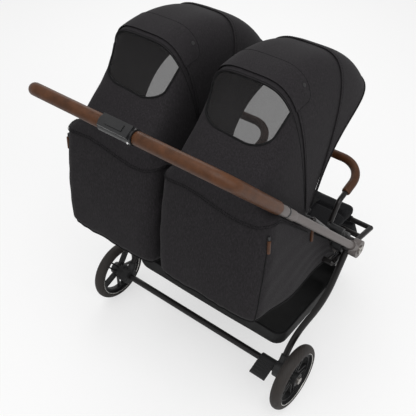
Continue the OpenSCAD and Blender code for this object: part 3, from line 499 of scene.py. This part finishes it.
def cloth(name, rows, thickness, skip=None, turned=False):
    """A sheet through rows of points with its wall on the inner side. Returns it with its flat size and area."""
    count = len(rows[0])
    faces, area = [], 0.0
    for i in range(len(rows) - 1):
        for j in range(count - 1):
            if skip and skip(i, j):
                continue
            a, b, c, d = rows[i][j], rows[i][j + 1], rows[i + 1][j + 1], rows[i + 1][j]
            area += ((c - a).cross(d - b)).length / 2
            face = (i * count + j, i * count + j + 1, (i + 1) * count + j + 1, (i + 1) * count + j)
            faces.append(face[::-1] if turned else face)
    mesh = bpy.data.meshes.new(name)
    mesh.from_pydata([p for row in rows for p in row], [], faces)
    made = bpy.data.objects.new(name, mesh)
    bpy.context.collection.objects.link(made)
    pick(made)
    bpy.ops.object.mode_set(mode="EDIT")
    bpy.ops.mesh.select_all(action="SELECT")
    bpy.ops.mesh.delete_loose(use_verts=True, use_edges=True, use_faces=False)
    bpy.ops.object.mode_set(mode="OBJECT")
    mesh.shade_smooth()
    shaped(made, "SOLIDIFY", thickness=thickness, offset=-1)
    bpy.ops.object.shade_smooth_by_angle(angle=math.radians(50))
    wide = max(sum((b - a).length for a, b in zip(row, row[1:])) for row in rows)
    long = max(sum((rows[i + 1][j] - rows[i][j]).length for i in range(len(rows) - 1)) for j in range(count))
    return made, (wide, long), area


def sew(sheet, material, slot, body, held, *rests_on):
    """Finishes a sheet from cloth with its material and body. How it is held and what it rests on are not used."""
    piece, flat, area = sheet
    settle(piece, material, body)
    return piece


def between(table, at):
    """Reads a table of (place, value) pairs at a place"""
    for (x0, v0), (x1, v1) in zip(table, table[1:]):
        if at <= x1:
            return v0 + (v1 - v0) * max(0.0, at - x0) / (x1 - x0)
    return table[-1][1]


def ease(low, high, at):
    """0 below low, 1 above high, smooth between them"""
    t = min(1.0, max(0.0, (at - low) / (high - low)))
    return t * t * (3 - 2 * t)


charcoal = melange("charcoal melange polyester", "#1e1c1e", "#262426", "#312e31")
black_tape = melange("black binding tape", "#101011", "#151516", "#1c1c1d")
bag_front, front_half = -0.105, 0.1446
seam_line = [(-0.105, 0.385), (-0.0605, 0.4648), (0.080, 0.6037), (0.230, 0.751), (0.258, 0.776), (0.4, 0.776)]
seam_wave = [(-1.0, -0.003), (-0.75, -0.009), (-0.5, -0.012), (-0.2, -0.006), (0.1, 0.005), (0.4, 0.011),
             (0.7, 0.007), (1.0, -0.002)]
hem_line = [(-0.105, 0.380), (-0.005, 0.405), (0.1887, 0.4455), (0.313, 0.478), (0.342, 0.486)]


def seat_ring(s, outer, inner, rear, corner):
    """Plan line of a seat from the front of its +X side round the back to the front of its -X side"""
    halves = []
    for half in (outer, inner) if s > 0 else (inner, outer):
        run = [bag_front + (rear - corner - bag_front) * k / 44 for k in range(45)]
        turn = [math.pi / 2 * k / 18 for k in range(1, 19)]
        line = [Vector((front_half + (half - front_half) * ease(-0.03, 0.18, y), y, 0)) for y in run]
        halves.append(line + [Vector((half - corner + corner * math.cos(q), rear - corner + corner * math.sin(q), 0))
                              for q in turn])
    plus, minus = halves
    minus = [Vector((-p.x, p.y, 0)) for p in reversed(minus)]
    back = [plus[-1].lerp(minus[0], k / 52) for k in range(1, 52)]
    return plus + back + minus


def seam_ring(s, grow):
    """The line where hood and bag are sewn together, drawn outwards by grow"""
    ring = []
    for p in seat_ring(s, 0.1650 + grow, 0.1450 + grow, 0.3070 + grow, 0.042 + grow):
        wave = between(seam_wave, p.x / 0.155) * ease(0.2, 0.29, p.y)
        ring.append(Vector((p.x, p.y, between(seam_line, p.y - grow) + wave)))
    return ring


def hem_wave(k):
    """How far a gathered hem rises or falls at its k-th point"""
    return 0.0013 * math.sin(0.55 * k + 1.6 * math.sin(0.19 * k)) + 0.0015 * math.sin(0.23 * k + 0.8)


def hem_ring(s):
    """The gathered lower edge of a bag, slightly wavy at the back"""
    ring = seat_ring(s, 0.1630, front_half, 0.3410, 0.040)
    return [Vector((p.x, p.y, between(hem_line, p.y) + hem_wave(k) * ease(0.12, 0.3, p.y)))
            for k, p in enumerate(ring)]


# The upper edge of each bag is tucked 6 mm under the hood
tuck_in, tuck_up = -0.0008, 0.006
bag_rings = {s: ([p + Vector((0, 0, tuck_up * ease(0.05, 0.1, p.y))) for p in seam_ring(s, tuck_in)], hem_ring(s))
             for s in (1, -1)}


def bag_wall(s, share, j, lift=0.0):
    """A point of a bag's wall: a share of the way from its upper edge to its hem, at the j-th point of its rings"""
    top, low = bag_rings[s]
    point = top[j].lerp(low[j], share)
    along = low[min(len(low) - 1, j + 1)] - low[max(0, j - 1)]
    outward = Vector((along.y, -along.x, 0)).normalized()
    full = math.sin(math.pi * min(1.0, share * 1.02)) ** 0.8
    rear = ease(0.15, 0.3, point.y)
    crease = 0.0013 * math.sin(0.37 * j + 8 * share) * math.sin(15 * share + 0.16 * j) * full
    gather = 0.009 * ease(0.93, 1.0, share) * rear
    return point + outward * (full * (0.002 + 0.005 * rear) + crease - gather + lift)


ring_count, base_start = len(bag_rings[1][0]), 12
bag_thick, base_thick, hem_radius, zip_radius = 0.0026, 0.0022, 0.0024, 0.0016
slider_radius, tab_radius, tab_hem = 0.0034, 0.0042, 0.0015
for side, s, place in seats:
    rows = [[bag_wall(s, i / 44, j) + place for j in range(ring_count)] for i in range(45)]
    bag = sew(cloth(f"seat_bag_{side}", rows, bag_thick, turned=True), charcoal, "charcoal_fabric", "front_frame",
              "stretched", "seat_frame")
    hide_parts(f"seat_shell_{side}")
    low, base_rows = rows[-1], []
    for j in range(base_start, ring_count // 2 + 1):
        a, b = low[j], low[ring_count - 1 - j]
        inside = Vector((0, -0.002 if a.y > 0.3 else 0, 0.003))
        base_rows.append([a.lerp(b, 0.012 + 0.976 * k / 24) + inside for k in range(25)])
    sew(cloth(f"seat_base_{side}", base_rows, base_thick, turned=True), charcoal, "charcoal_fabric", "front_frame",
        "stretched", f"seat_bag_{side}")
    hem = tube(f"bag_hem_{side}", [bag_wall(s, 0.995, j, 0.0002) + place for j in range(ring_count)], hem_radius)
    settle(hem, black_tape, "front_frame")
    corner_at = 50 if s > 0 else ring_count - 51
    zip_line = [bag_wall(s, 0.10 + 0.88 * k / 40, corner_at, 0.0004) + place for k in range(41)]
    settle(tube(f"bag_zip_{side}", zip_line, zip_radius), black_tape, "front_frame")
    zip_top, away = zip_line[0], Vector((s * 0.8, 0.6, 0)) * 0.0052
    slider_ends = [zip_top + away * 0.4 + Vector((0, 0, 0.004)), zip_top + away * 0.6 - Vector((0, 0, 0.010))]
    tab_ends = [zip_top + away - Vector((0, 0, 0.008)), zip_top + away * 1.3 - Vector((0, 0, 0.044))]
    slider = tube(f"zip_slider_{side}", slider_ends, slider_radius, hem=0.001)
    settle(slider, satin_moulding, "front_frame")
    tab = tube(f"zip_pull_{side}", tab_ends, tab_radius, hem=tab_hem)
    settle(tab, brown_hide, "front_frame")


# Canopy hoods
# The fixed rear third of each canopy runs from its rear bow down to the bag, with a wide vent of black net in its back.
# Its lower edge is sewn over the bag along a wavy double seam, and tape binds the vent and the bow.
def evenly(points, count):
    """The same line with its points spaced evenly"""
    runs = [0.0]
    for a, b in zip(points, points[1:]):
        runs.append(runs[-1] + (b - a).length)
    spaced, k = [], 0
    for i in range(count):
        want = runs[-1] * i / (count - 1)
        while k < len(points) - 2 and runs[k + 1] < want:
            k += 1
        share = (want - runs[k]) / max(1e-9, runs[k + 1] - runs[k])
        spaced.append(points[k].lerp(points[k + 1], min(1.0, share)))
    return spaced


def arch(half, radius, count):
    """A bow's outline as (x, distance from the pivot), evenly spaced from one pivot over the crown to the other"""
    power, eye, fine_steps = 2 / 4, 0.012, 720
    t0 = math.asin((eye / radius) ** (1 / power))
    fine = []
    for i in range(fine_steps + 1):
        t = t0 + (math.pi - 2 * t0) * i / fine_steps
        c = math.cos(t)
        fine.append(Vector((half * math.copysign(abs(c) ** power, c), radius * math.sin(t) ** power)))
    return evenly(fine, count)


pivot = Vector((0, 0.075, 0.645))
bow_angle = math.radians(168)
hood_steps, hood_rows, bow_steps = 180, 80, 160
hood_shares = [j / hood_steps for j in range(hood_steps + 1)]
bow_shares = [j / bow_steps for j in range(bow_steps + 1)]
hood_size = (0.1306, 0.3954)
hood_arch = arch(0.1308, 0.3958, hood_steps + 1)
sections = {hood_size: arch(*hood_size, bow_steps + 1)}
back_line = ((0.1573, 1.0321), (0.163, 1.006), (0.172, 0.980), (0.191, 0.948), (0.217, 0.914), (0.250, 0.883),
             (0.280, 0.852), (0.299, 0.816), (0.3090, 0.776))
profile_steps = 60
hood_profile = evenly([Vector(p) for p in back_line], profile_steps + 1)
vent_top, vent_low = 0.010, 0.455


def partway(points, share):
    """The point at a share of the way along a line of evenly spaced points"""
    at = share * (len(points) - 1)
    j = min(len(points) - 2, int(at))
    return points[j].lerp(points[j + 1], at - j)


def canopy_point(half, radius, angle, u):
    """A point of a folding section: u from one pivot over the crown to the other at an angle about the pivots"""
    p, turn = partway(sections[half, radius], u), math.radians(angle)
    return Vector((p.x, pivot.y + p.y * math.sin(turn), pivot.z - p.y * math.cos(turn)))


def hood_point(edge, u, v):
    """A point of a hood: u from one pivot over the crown to the other, v from the bow to the lower edge"""
    bow, foot = partway(hood_arch, u), partway(edge, u)
    top = Vector((bow.x, pivot.y + bow.y * math.sin(bow_angle), pivot.z - bow.y * math.cos(bow_angle)))
    point = top.lerp(foot, v)
    rear = ease(0.42, 0.86, 1 - abs(2 * u - 1))
    shape, straight = partway(hood_profile, v), hood_profile[0].lerp(hood_profile[-1], v)
    point.y += (shape.x - straight.x) * rear
    point.z += (shape.y - straight.y) * rear
    # Where the folded sections slide over it the hood keeps to its bow, and it spreads out to the bag below them
    angle = math.degrees(math.atan2(point.y - pivot.y, pivot.z - point.z))
    angle += 0.08 / math.hypot(point.y - pivot.y, point.z - pivot.z)
    point.x = bow.x + (foot.x - bow.x) * max(ease(0.80, 1.0, v), 1 - ease(119, 134.5, angle))
    return point


def vent_half(v):
    """Half the width of the vent at a height on the hood, or less than nothing outside it"""
    if not vent_top <= v <= vent_low:
        return -1.0
    share = (v - vent_top) / (vent_low - vent_top)
    flare = 0.106 - 0.020 * share
    turn = max(0.0, (share - 0.62) / 0.38)
    return flare - 0.052 * (1 - math.sqrt(max(0.0, 1 - turn * turn)))


def hood_at(edge, x, v):
    """The point where a hood reaches a given x, found by halving"""
    low, high = 0.02, 0.98
    for _ in range(30):
        u = (low + high) / 2
        if hood_point(edge, u, v).x > x:
            low = u
        else:
            high = u
    return hood_point(edge, (low + high) / 2, v)


def vent_rim(edge, x, v):
    """A point of the vent's edge, sunk a little under the bow so that the middle section slides over it"""
    p = hood_at(edge, x, v)
    low = Vector((p.x * 0.982, pivot.y + (p.y - pivot.y) * 0.993, pivot.z + (p.z - pivot.z) * 0.993))
    return low.lerp(p, ease(0.015, 0.05, v))


net, net_tree, net_shader, net_place = finish("black polyester net")
net_shader.inputs["Base Color"].default_value = linear("#171516")
net_shader.inputs["Roughness"].default_value = 0.8
# Holes of about 1 mm are drawn at 1.6 mm so that they show
mesh_holes = add(net_tree, "TexVoronoi", {"Vector": net_place, "Scale": 1 / 0.0016})
open_share = add(net_tree, "MapRange", {"Value": mesh_holes.outputs["Distance"], "From Min": 0.1, "From Max": 0.7,
                                        "To Min": 0.52, "To Max": 0.60})
net_tree.links.new(open_share.outputs[0], net_shader.inputs["Alpha"])

hood_thick, sleeve_thick, net_thick = 0.0022, 0.0020, 0.0004
binding_radius, piping_radius = 0.0026, 0.0010
seam_stitch, seam_thread, seam_lift = 0.0062, 0.0008, 0.0012
vent_heights = [vent_top + (vent_low - 0.0001 - vent_top) * math.sin(math.pi / 2 * i / 24) for i in range(25)]
for side, s, place in seats:
    edge = evenly([p for p in seam_ring(s, 0.0022) if p.y > 0.078], hood_steps + 1)
    rows = [[hood_point(edge, u, i / hood_rows) + place for u in hood_shares] for i in range(hood_rows + 1)]

    def in_vent(i, j):
        middle = (rows[i][j] + rows[i + 1][j + 1]) / 2
        return abs(middle.x - place.x) < vent_half((i + 0.5) / hood_rows) - 0.0005

    hood = sew(cloth(f"canopy_hood_cloth_{side}", rows, hood_thick, skip=in_vent, turned=True), charcoal,
               "charcoal_fabric", "front_frame", "stretched", "canopy_pins", f"seat_bag_{side}")
    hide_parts(f"canopy_hood_{side}")
    net_rows = [[hood_at(edge, vent_half(v) * (1 - j / 14), v) + place - Vector((0, 0.0012, 0.0010))
                 for j in range(29)] for v in vent_heights]
    sew(cloth(f"vent_net_{side}", net_rows, net_thick, turned=True), net, "charcoal_fabric", "front_frame",
        "stretched", f"canopy_hood_cloth_{side}")
    rim = [vent_rim(edge, vent_half(v), v) for v in vent_heights]
    rim += [vent_rim(edge, -vent_half(v), v) for v in reversed(vent_heights)]
    rim += [vent_rim(edge, vent_half(vent_top) * (k / 12 - 1), vent_top) for k in range(1, 25)]
    settle(tube(f"vent_binding_{side}", [p + place for p in rim], binding_radius), black_tape,
           "front_frame")
    sleeve_rows = [[canopy_point(*hood_size, 167.4 + 7.6 * i / 6, u) + place for u in bow_shares] for i in range(7)]
    sew(cloth(f"bow_sleeve_{side}", sleeve_rows, sleeve_thick), charcoal, "charcoal_fabric", "front_frame",
        "stretched", "canopy_pins")
    bow_line = [canopy_point(*hood_size, 167.8, u) + place for u in bow_shares[3:-3]]
    settle(tube(f"bow_piping_{side}", bow_line, piping_radius), black_tape, "front_frame")
    for line, v in (("lower", 0.992), ("upper", 0.972)):
        path = []
        for u in hood_shares[8:-8]:
            p = hood_point(edge, u, v)
            out = math.copysign(seam_lift, p.x) * ease(0.1, 0.14, abs(p.x))
            path.append(p + place + Vector((out, seam_lift * ease(0.24, 0.3, p.y), 0)))
        row = stitches(f"hood_stitches_{line}_{side}", path, seam_stitch, seam_thread)
        settle(row, black_tape, "front_frame")
    tab_ends = [place + Vector((s * 0.1575, 0.079, 0.622)), place + Vector((s * 0.1610, 0.081, 0.580))]
    pull = tube(f"pivot_tab_{side}", tab_ends, tab_radius, hem=tab_hem)
    settle(pull, brown_hide, "front_frame")


# Folding canopy sections
# In front of the hood two more sections of the same cloth swing on the same pivots, each over a sprung bow: the middle
# one and the visor, whose rounded brow shades the seat. The vent's flap is snapped forward onto the middle section.
def brow(u):
    """The angle of the visor's front edge: furthest forward at the crown, back at the sides"""
    return 206 + 28 * ease(0.16, 0.86, 1 - abs(2 * u - 1))


mid_size, visor_size, flap_size = (0.1342, 0.3986), (0.1379, 0.4029), (0.1346, 0.4000)
mid_rear, mid_sweep, visor_rear = 170, 35, 203
mid_thick, visor_thick, flap_thick = 0.0020, 0.0022, 0.0010
flap_first, flap_last, flap_rear, flap_sweep, flap_radius = 0.345, 0.655, 169.4, 10.5, 0.0005
snap_angle, snap_u = 177.8, 0.615
section_seams = (("mid", mid_size, 171.2), ("visor", visor_size, 204.2))
sections.update({size: arch(*size, bow_steps + 1) for size in (mid_size, visor_size, flap_size)})
for side, _, place in seats:
    mid_body, visor_body = f"canopy_mid_{side}", f"canopy_visor_{side}"
    rows = [[canopy_point(*mid_size, mid_rear + mid_sweep * i / 36, u) + place for u in bow_shares] for i in range(37)]
    middle = sew(cloth(f"canopy_middle_{side}", rows, mid_thick), charcoal, "charcoal_fabric", mid_body, "stretched",
                 "canopy_pins")
    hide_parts(mid_body)
    rows = [[canopy_point(*visor_size, visor_rear + (brow(u) - visor_rear) * i / 40, u) + place for u in bow_shares]
            for i in range(41)]
    visor, flat, area = cloth(f"canopy_visor_cloth_{side}", rows, visor_thick)
    settle(visor, charcoal, visor_body)
    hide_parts(visor_body)
    brow_hem = [canopy_point(*visor_size, brow(u), u) + place for u in bow_shares[3:-3]]
    settle(tube(f"brow_binding_{side}", brow_hem, binding_radius), black_tape, visor_body)
    for name, size, angle in section_seams:
        path = [canopy_point(*size, angle, u) + place for u in bow_shares[6:-6]]
        row = stitches(f"{name}_stitches_{side}", path, seam_stitch, 0.0007)
        settle(row, black_tape, f"canopy_{name}_{side}")
    rows = []
    for i in range(15):
        reach = i / 14
        corner = 0.030 * (1 - math.sqrt(max(0.0, 1 - max(0.0, (reach - 0.7) / 0.3) ** 2)))
        start, width = flap_first + corner, flap_last - flap_first - 2 * corner
        rows.append([canopy_point(*flap_size, flap_rear + flap_sweep * reach, start + width * j / 48) + place
                     for j in range(49)])
    sew(cloth(f"vent_flap_{side}", rows, flap_thick), charcoal, "charcoal_fabric", mid_body, "laid",
        f"canopy_middle_{side}")
    flap_edge = [row[0] for row in rows] + rows[-1][1:-1] + [row[-1] for row in reversed(rows)]
    settle(tube(f"flap_binding_{side}", flap_edge, flap_radius), black_tape, mid_body)
    spot = canopy_point(*flap_size, snap_angle, snap_u)
    ahead = canopy_point(*flap_size, snap_angle + 0.5, snap_u) - spot
    beside = canopy_point(*flap_size, snap_angle, snap_u + 0.005) - spot
    outward = ahead.cross(beside).normalized()
    outward = outward if outward.z > 0 else -outward
    bpy.ops.mesh.primitive_cylinder_add(vertices=40, radius=0.0048, depth=0.0012, location=place + spot,
                                        rotation=outward.to_track_quat("Z", "Y").to_euler())
    settle(eased(f"flap_snap_{side}"), satin_moulding, mid_body)


# Seat cushions, backrests and leg rests
# Foam pads sewn into covers of darker cloth with cross channels. The seat cushion lies on the frame, the backrest
# turns on the rear bar of the frame and the leg rest on the front bar, both by loops round the bar.
def stuffed(name, size, cap, channels):
    """A pad blown up from a slightly smaller block, then drawn in along its sewn channels (places along y)"""
    bpy.ops.object.select_all(action="DESELECT")
    bpy.ops.mesh.primitive_cube_add(size=1)
    pad = bpy.context.object
    pad.name = name
    pad.scale = size
    bpy.ops.object.transform_apply(location=True, rotation=True, scale=True)
    shaped(pad, "BEVEL", width=size[2] * 0.36, segments=3)
    shaped(pad, "REMESH", mode="VOXEL", voxel_size=0.0052)
    filling = pad.modifiers.new("filling", "CLOTH")
    filling.settings.quality = 4
    filling.settings.mass = 0.15
    filling.settings.use_pressure = True
    filling.settings.uniform_pressure_force = 4
    filling.settings.effector_weights.gravity = 0
    still = [v.co.copy() for v in pad.data.vertices]
    for step in range(1, 21):
        bpy.context.scene.frame_set(step)
    blown = pad.evaluated_get(bpy.context.evaluated_depsgraph_get()).data
    moved = [v.co - rest for v, rest in zip(blown.vertices, still)]
    pad.modifiers.remove(filling)
    bpy.context.scene.frame_set(1)
    for v, rest, step in zip(pad.data.vertices, still, moved):
        v.co = rest + step * min(1.0, cap / max(1e-9, step.length))
    channel_half, channel_deep = 0.005, 0.34 * size[2]
    for v in pad.data.vertices:
        rim = ease(0.0, 0.02, size[0] / 2 - abs(v.co.x))
        for at in channels:
            pull = math.exp(-((v.co.y - at) / channel_half) ** 2) * rim * ease(0.0, 0.004, abs(v.co.z))
            v.co.z -= math.copysign(channel_deep, v.co.z) * pull
    shaped(pad, "SUBSURF", levels=1, render_levels=1)
    bpy.ops.object.shade_smooth()
    return pad


pad_cloth = melange("padded dark melange", "#131314", "#1b1b1d", "#2a2a2c")
seat_pad = stuffed("seat_cushion", (0.230, 0.218, 0.036), 0.006, (-0.045,))
back_pad = stuffed("back_pad", (0.232, 0.322, 0.015), 0.004, (0.05, -0.06))
calf_pad = stuffed("calf_pad", (0.232, 0.088, 0.015), 0.004, ())
recline, front_bar = Vector((0, -0.040, 0.411)), Vector((0, -0.285, 0.366))
back_turn = Matrix.Translation(recline) @ Matrix.Rotation(math.radians(15), 4, "X")
calf_turn = Matrix.Translation(front_bar) @ Matrix.Rotation(math.radians(62), 4, "X")
seat_spot = Matrix.Translation((0, -0.181, 0.4053))
back_spot = back_turn @ Matrix.Translation((0, 0.184, 0.0058))
calf_spot = calf_turn @ Matrix.Translation((0, -0.067, 0))
loop_x, loop_radius, loop_thick = 0.092, 0.0104, 0.0018
loop_line = [Vector((0, loop_radius * math.cos(q), loop_radius * math.sin(q)))
             for q in (math.tau * k / 40 for k in range(41))]
for side, _, place in seats:
    move = Matrix.Translation(place)
    for pad, name, spot, body, node in (
            (seat_pad, "seat_cushion", seat_spot, "front_frame", f"seat_pad_{side}"),
            (back_pad, "back_pad", back_spot, f"backrest_{side}", f"backrest_{side}"),
            (calf_pad, "calf_pad", calf_spot, f"leg_rest_{side}", f"leg_rest_{side}")):
        copy = bpy.data.objects.new(f"{name}_{side}", pad.data.copy())
        bpy.context.collection.objects.link(copy)
        copy.data.transform(move @ spot)
        settle(copy, pad_cloth, body)
        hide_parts(node)
    for name, spot, body in (("back", back_turn, f"backrest_{side}"), ("calf", calf_turn, f"leg_rest_{side}")):
        for end, x in (("a", -loop_x), ("b", loop_x)):
            rows = [[move @ spot @ (p + Vector((x + dx, 0, 0))) for p in loop_line]
                    for dx in (-0.013, -0.004, 0.004, 0.013)]
            sew(cloth(f"{name}_loop_{side}_{end}", rows, loop_thick), black_tape, "cushion_fabric", body, "folded",
                "seat_frame")
for pad in (seat_pad, back_pad, calf_pad):
    bpy.data.objects.remove(pad)


# Harness
# Flat polyester webbing, 25 mm wide: two shoulder straps sewn to each backrest and a crotch strap on each cushion,
# which ends in a moulded buckle.
def webbing(name, points, width, thickness):
    """A flat strap through points, as wide as given from side to side"""
    rows = [[p + Vector((width * k / 4, 0, 0)) for p in points] for k in (-2, -1, 0, 1, 2)]
    return cloth(name, rows, thickness, turned=True)


webbing_weave = melange("black webbing", "#141415", "#1b1b1c", "#2a2a2b")
strap_width, strap_thick, strap_x = 0.025, 0.0014, 0.042
for side, _, place in seats:
    for strap, x in (("inner", -strap_x), ("outer", strap_x)):
        run = [Matrix.Translation(place) @ back_turn
               @ Vector((x, 0.045 + 0.215 * k / 12, 0.0245 + 0.0015 * math.sin(math.pi * k / 12))) for k in range(13)]
        sew(webbing(f"shoulder_strap_{strap}_{side}", run, strap_width, strap_thick), webbing_weave, "cushion_fabric",
            f"backrest_{side}", "laid", f"back_pad_{side}")
    run = [place + Vector((0, -0.235 + 0.085 * k / 10, 0.4318 + 0.004 * math.sin(math.pi * k / 10)))
           for k in range(11)]
    sew(webbing(f"crotch_strap_{side}", run, strap_width, strap_thick), webbing_weave, "cushion_fabric",
        "front_frame", "laid", f"seat_cushion_{side}")
    bpy.ops.mesh.primitive_cube_add(size=1, location=place + Vector((0, -0.146, 0.4395)))
    bpy.context.object.scale = (0.050, 0.046, 0.012)
    settle(eased(f"harness_buckle_{side}", 0.0045, 4), satin_moulding, "front_frame")


# Basket
# A tub of black nylon under both seats, with soft rounded walls, a taped rim that sags at the back, and two straps of
# webbing sewn to its front edge, which hang it from the seat frame.
def nylon(name):
    """Ripstop nylon: near black, a faint gloss, and a 5 mm grid of thicker threads"""
    material, tree, shader, place = finish(name)
    grid = add(tree, "TexChecker", {"Vector": place, "Scale": 1 / 0.005, "Color1": linear("#0c0c0d"),
                                    "Color2": linear("#101011")})
    tree.links.new(grid.outputs["Color"], shader.inputs["Base Color"])
    crinkle = noise(tree, place, 0.03, 5.0)
    roughen(tree, shader, crinkle, 0.55, 0.75)
    emboss(tree, shader, crinkle, 0.3, 0.003)
    return material


def basket_ring(inset, corner):
    """The basket's plan as a closed ring of points, drawn in by an inset"""
    x1, y0, y1 = 0.282 - inset - corner, -0.226 + inset + corner, 0.122 - inset - corner
    ring = []
    for k, (x, y) in enumerate(((x1, y1), (-x1, y1), (-x1, y0), (x1, y0))):
        turns = [math.radians(90 * k + q) for q in range(0, 91, 9)]
        ring += [Vector((x + corner * math.cos(turn), y + corner * math.sin(turn), 0)) for turn in turns]
    return evenly(ring + [ring[0]], 161)


def sag(p, half, depth):
    """How far the middle of the basket's back edge gives way at a point"""
    return depth * math.exp(-(p.x / half) ** 4) * ease(0.06, 0.115, p.y)


rim_z, floor_z, basket_corner, floor_turn = 0.2052, 0.1290, 0.032, 0.008
tub_thick, patch_thick, rim_radius = 0.0024, 0.0016, 0.0032
basket_x, basket_strap, basket_strap_thick = 0.205, 0.022, 0.0020
rows = []
for i in range(11):
    down = i / 10
    drop = (rim_z - floor_z - floor_turn) * down
    inset = 0.001 - 0.003 * math.sin(math.pi * down) + 0.016 * down ** 4
    rows.append([p + Vector((0, -sag(p, 0.21, 0.016) * (1 - down), rim_z - sag(p, 0.17, 0.034) * (1 - down) - drop))
                 for p in basket_ring(inset, basket_corner)])
for inset, drop in ((0.020, 0.004), (0.030, 0.001), (0.06, 0.0), (0.10, 0.0006), (0.14, 0.001), (0.168, 0.001)):
    ring = basket_ring(inset, max(0.004, basket_corner - inset * 0.16))
    rows.append([p + Vector((0, 0, floor_z + drop + 0.0012 * math.sin(40 * p.x) * math.sin(33 * p.y))) for p in ring])
black_nylon = nylon("black ripstop nylon")
tub = sew(cloth("basket_tub", rows, tub_thick, turned=True), black_nylon, "basket_fabric", "front_frame", "hung",
          "seat_frame")
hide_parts("basket")
patch_rows = [[Vector((-0.116 + 0.232 * j / 20, -0.060 + 0.016 * i / 4, floor_z + 0.0012)) for j in range(21)]
              for i in range(5)]
sew(cloth("basket_floor_patch", patch_rows, patch_thick), black_nylon, "basket_fabric", "front_frame", "laid",
    "basket_tub")
settle(tube("basket_rim", rows[0], rim_radius), black_tape, "front_frame")
for side, s in sides:
    x = s * basket_x
    run = [Vector((x, -0.2795, 0.358)).lerp(Vector((x, -0.2255, 0.184)), k / 12) for k in range(13)]
    sew(webbing(f"basket_strap_{side}", run, basket_strap, basket_strap_thick), webbing_weave, "basket_fabric",
        "front_frame", "stretched", "seat_frame", "basket_tub")
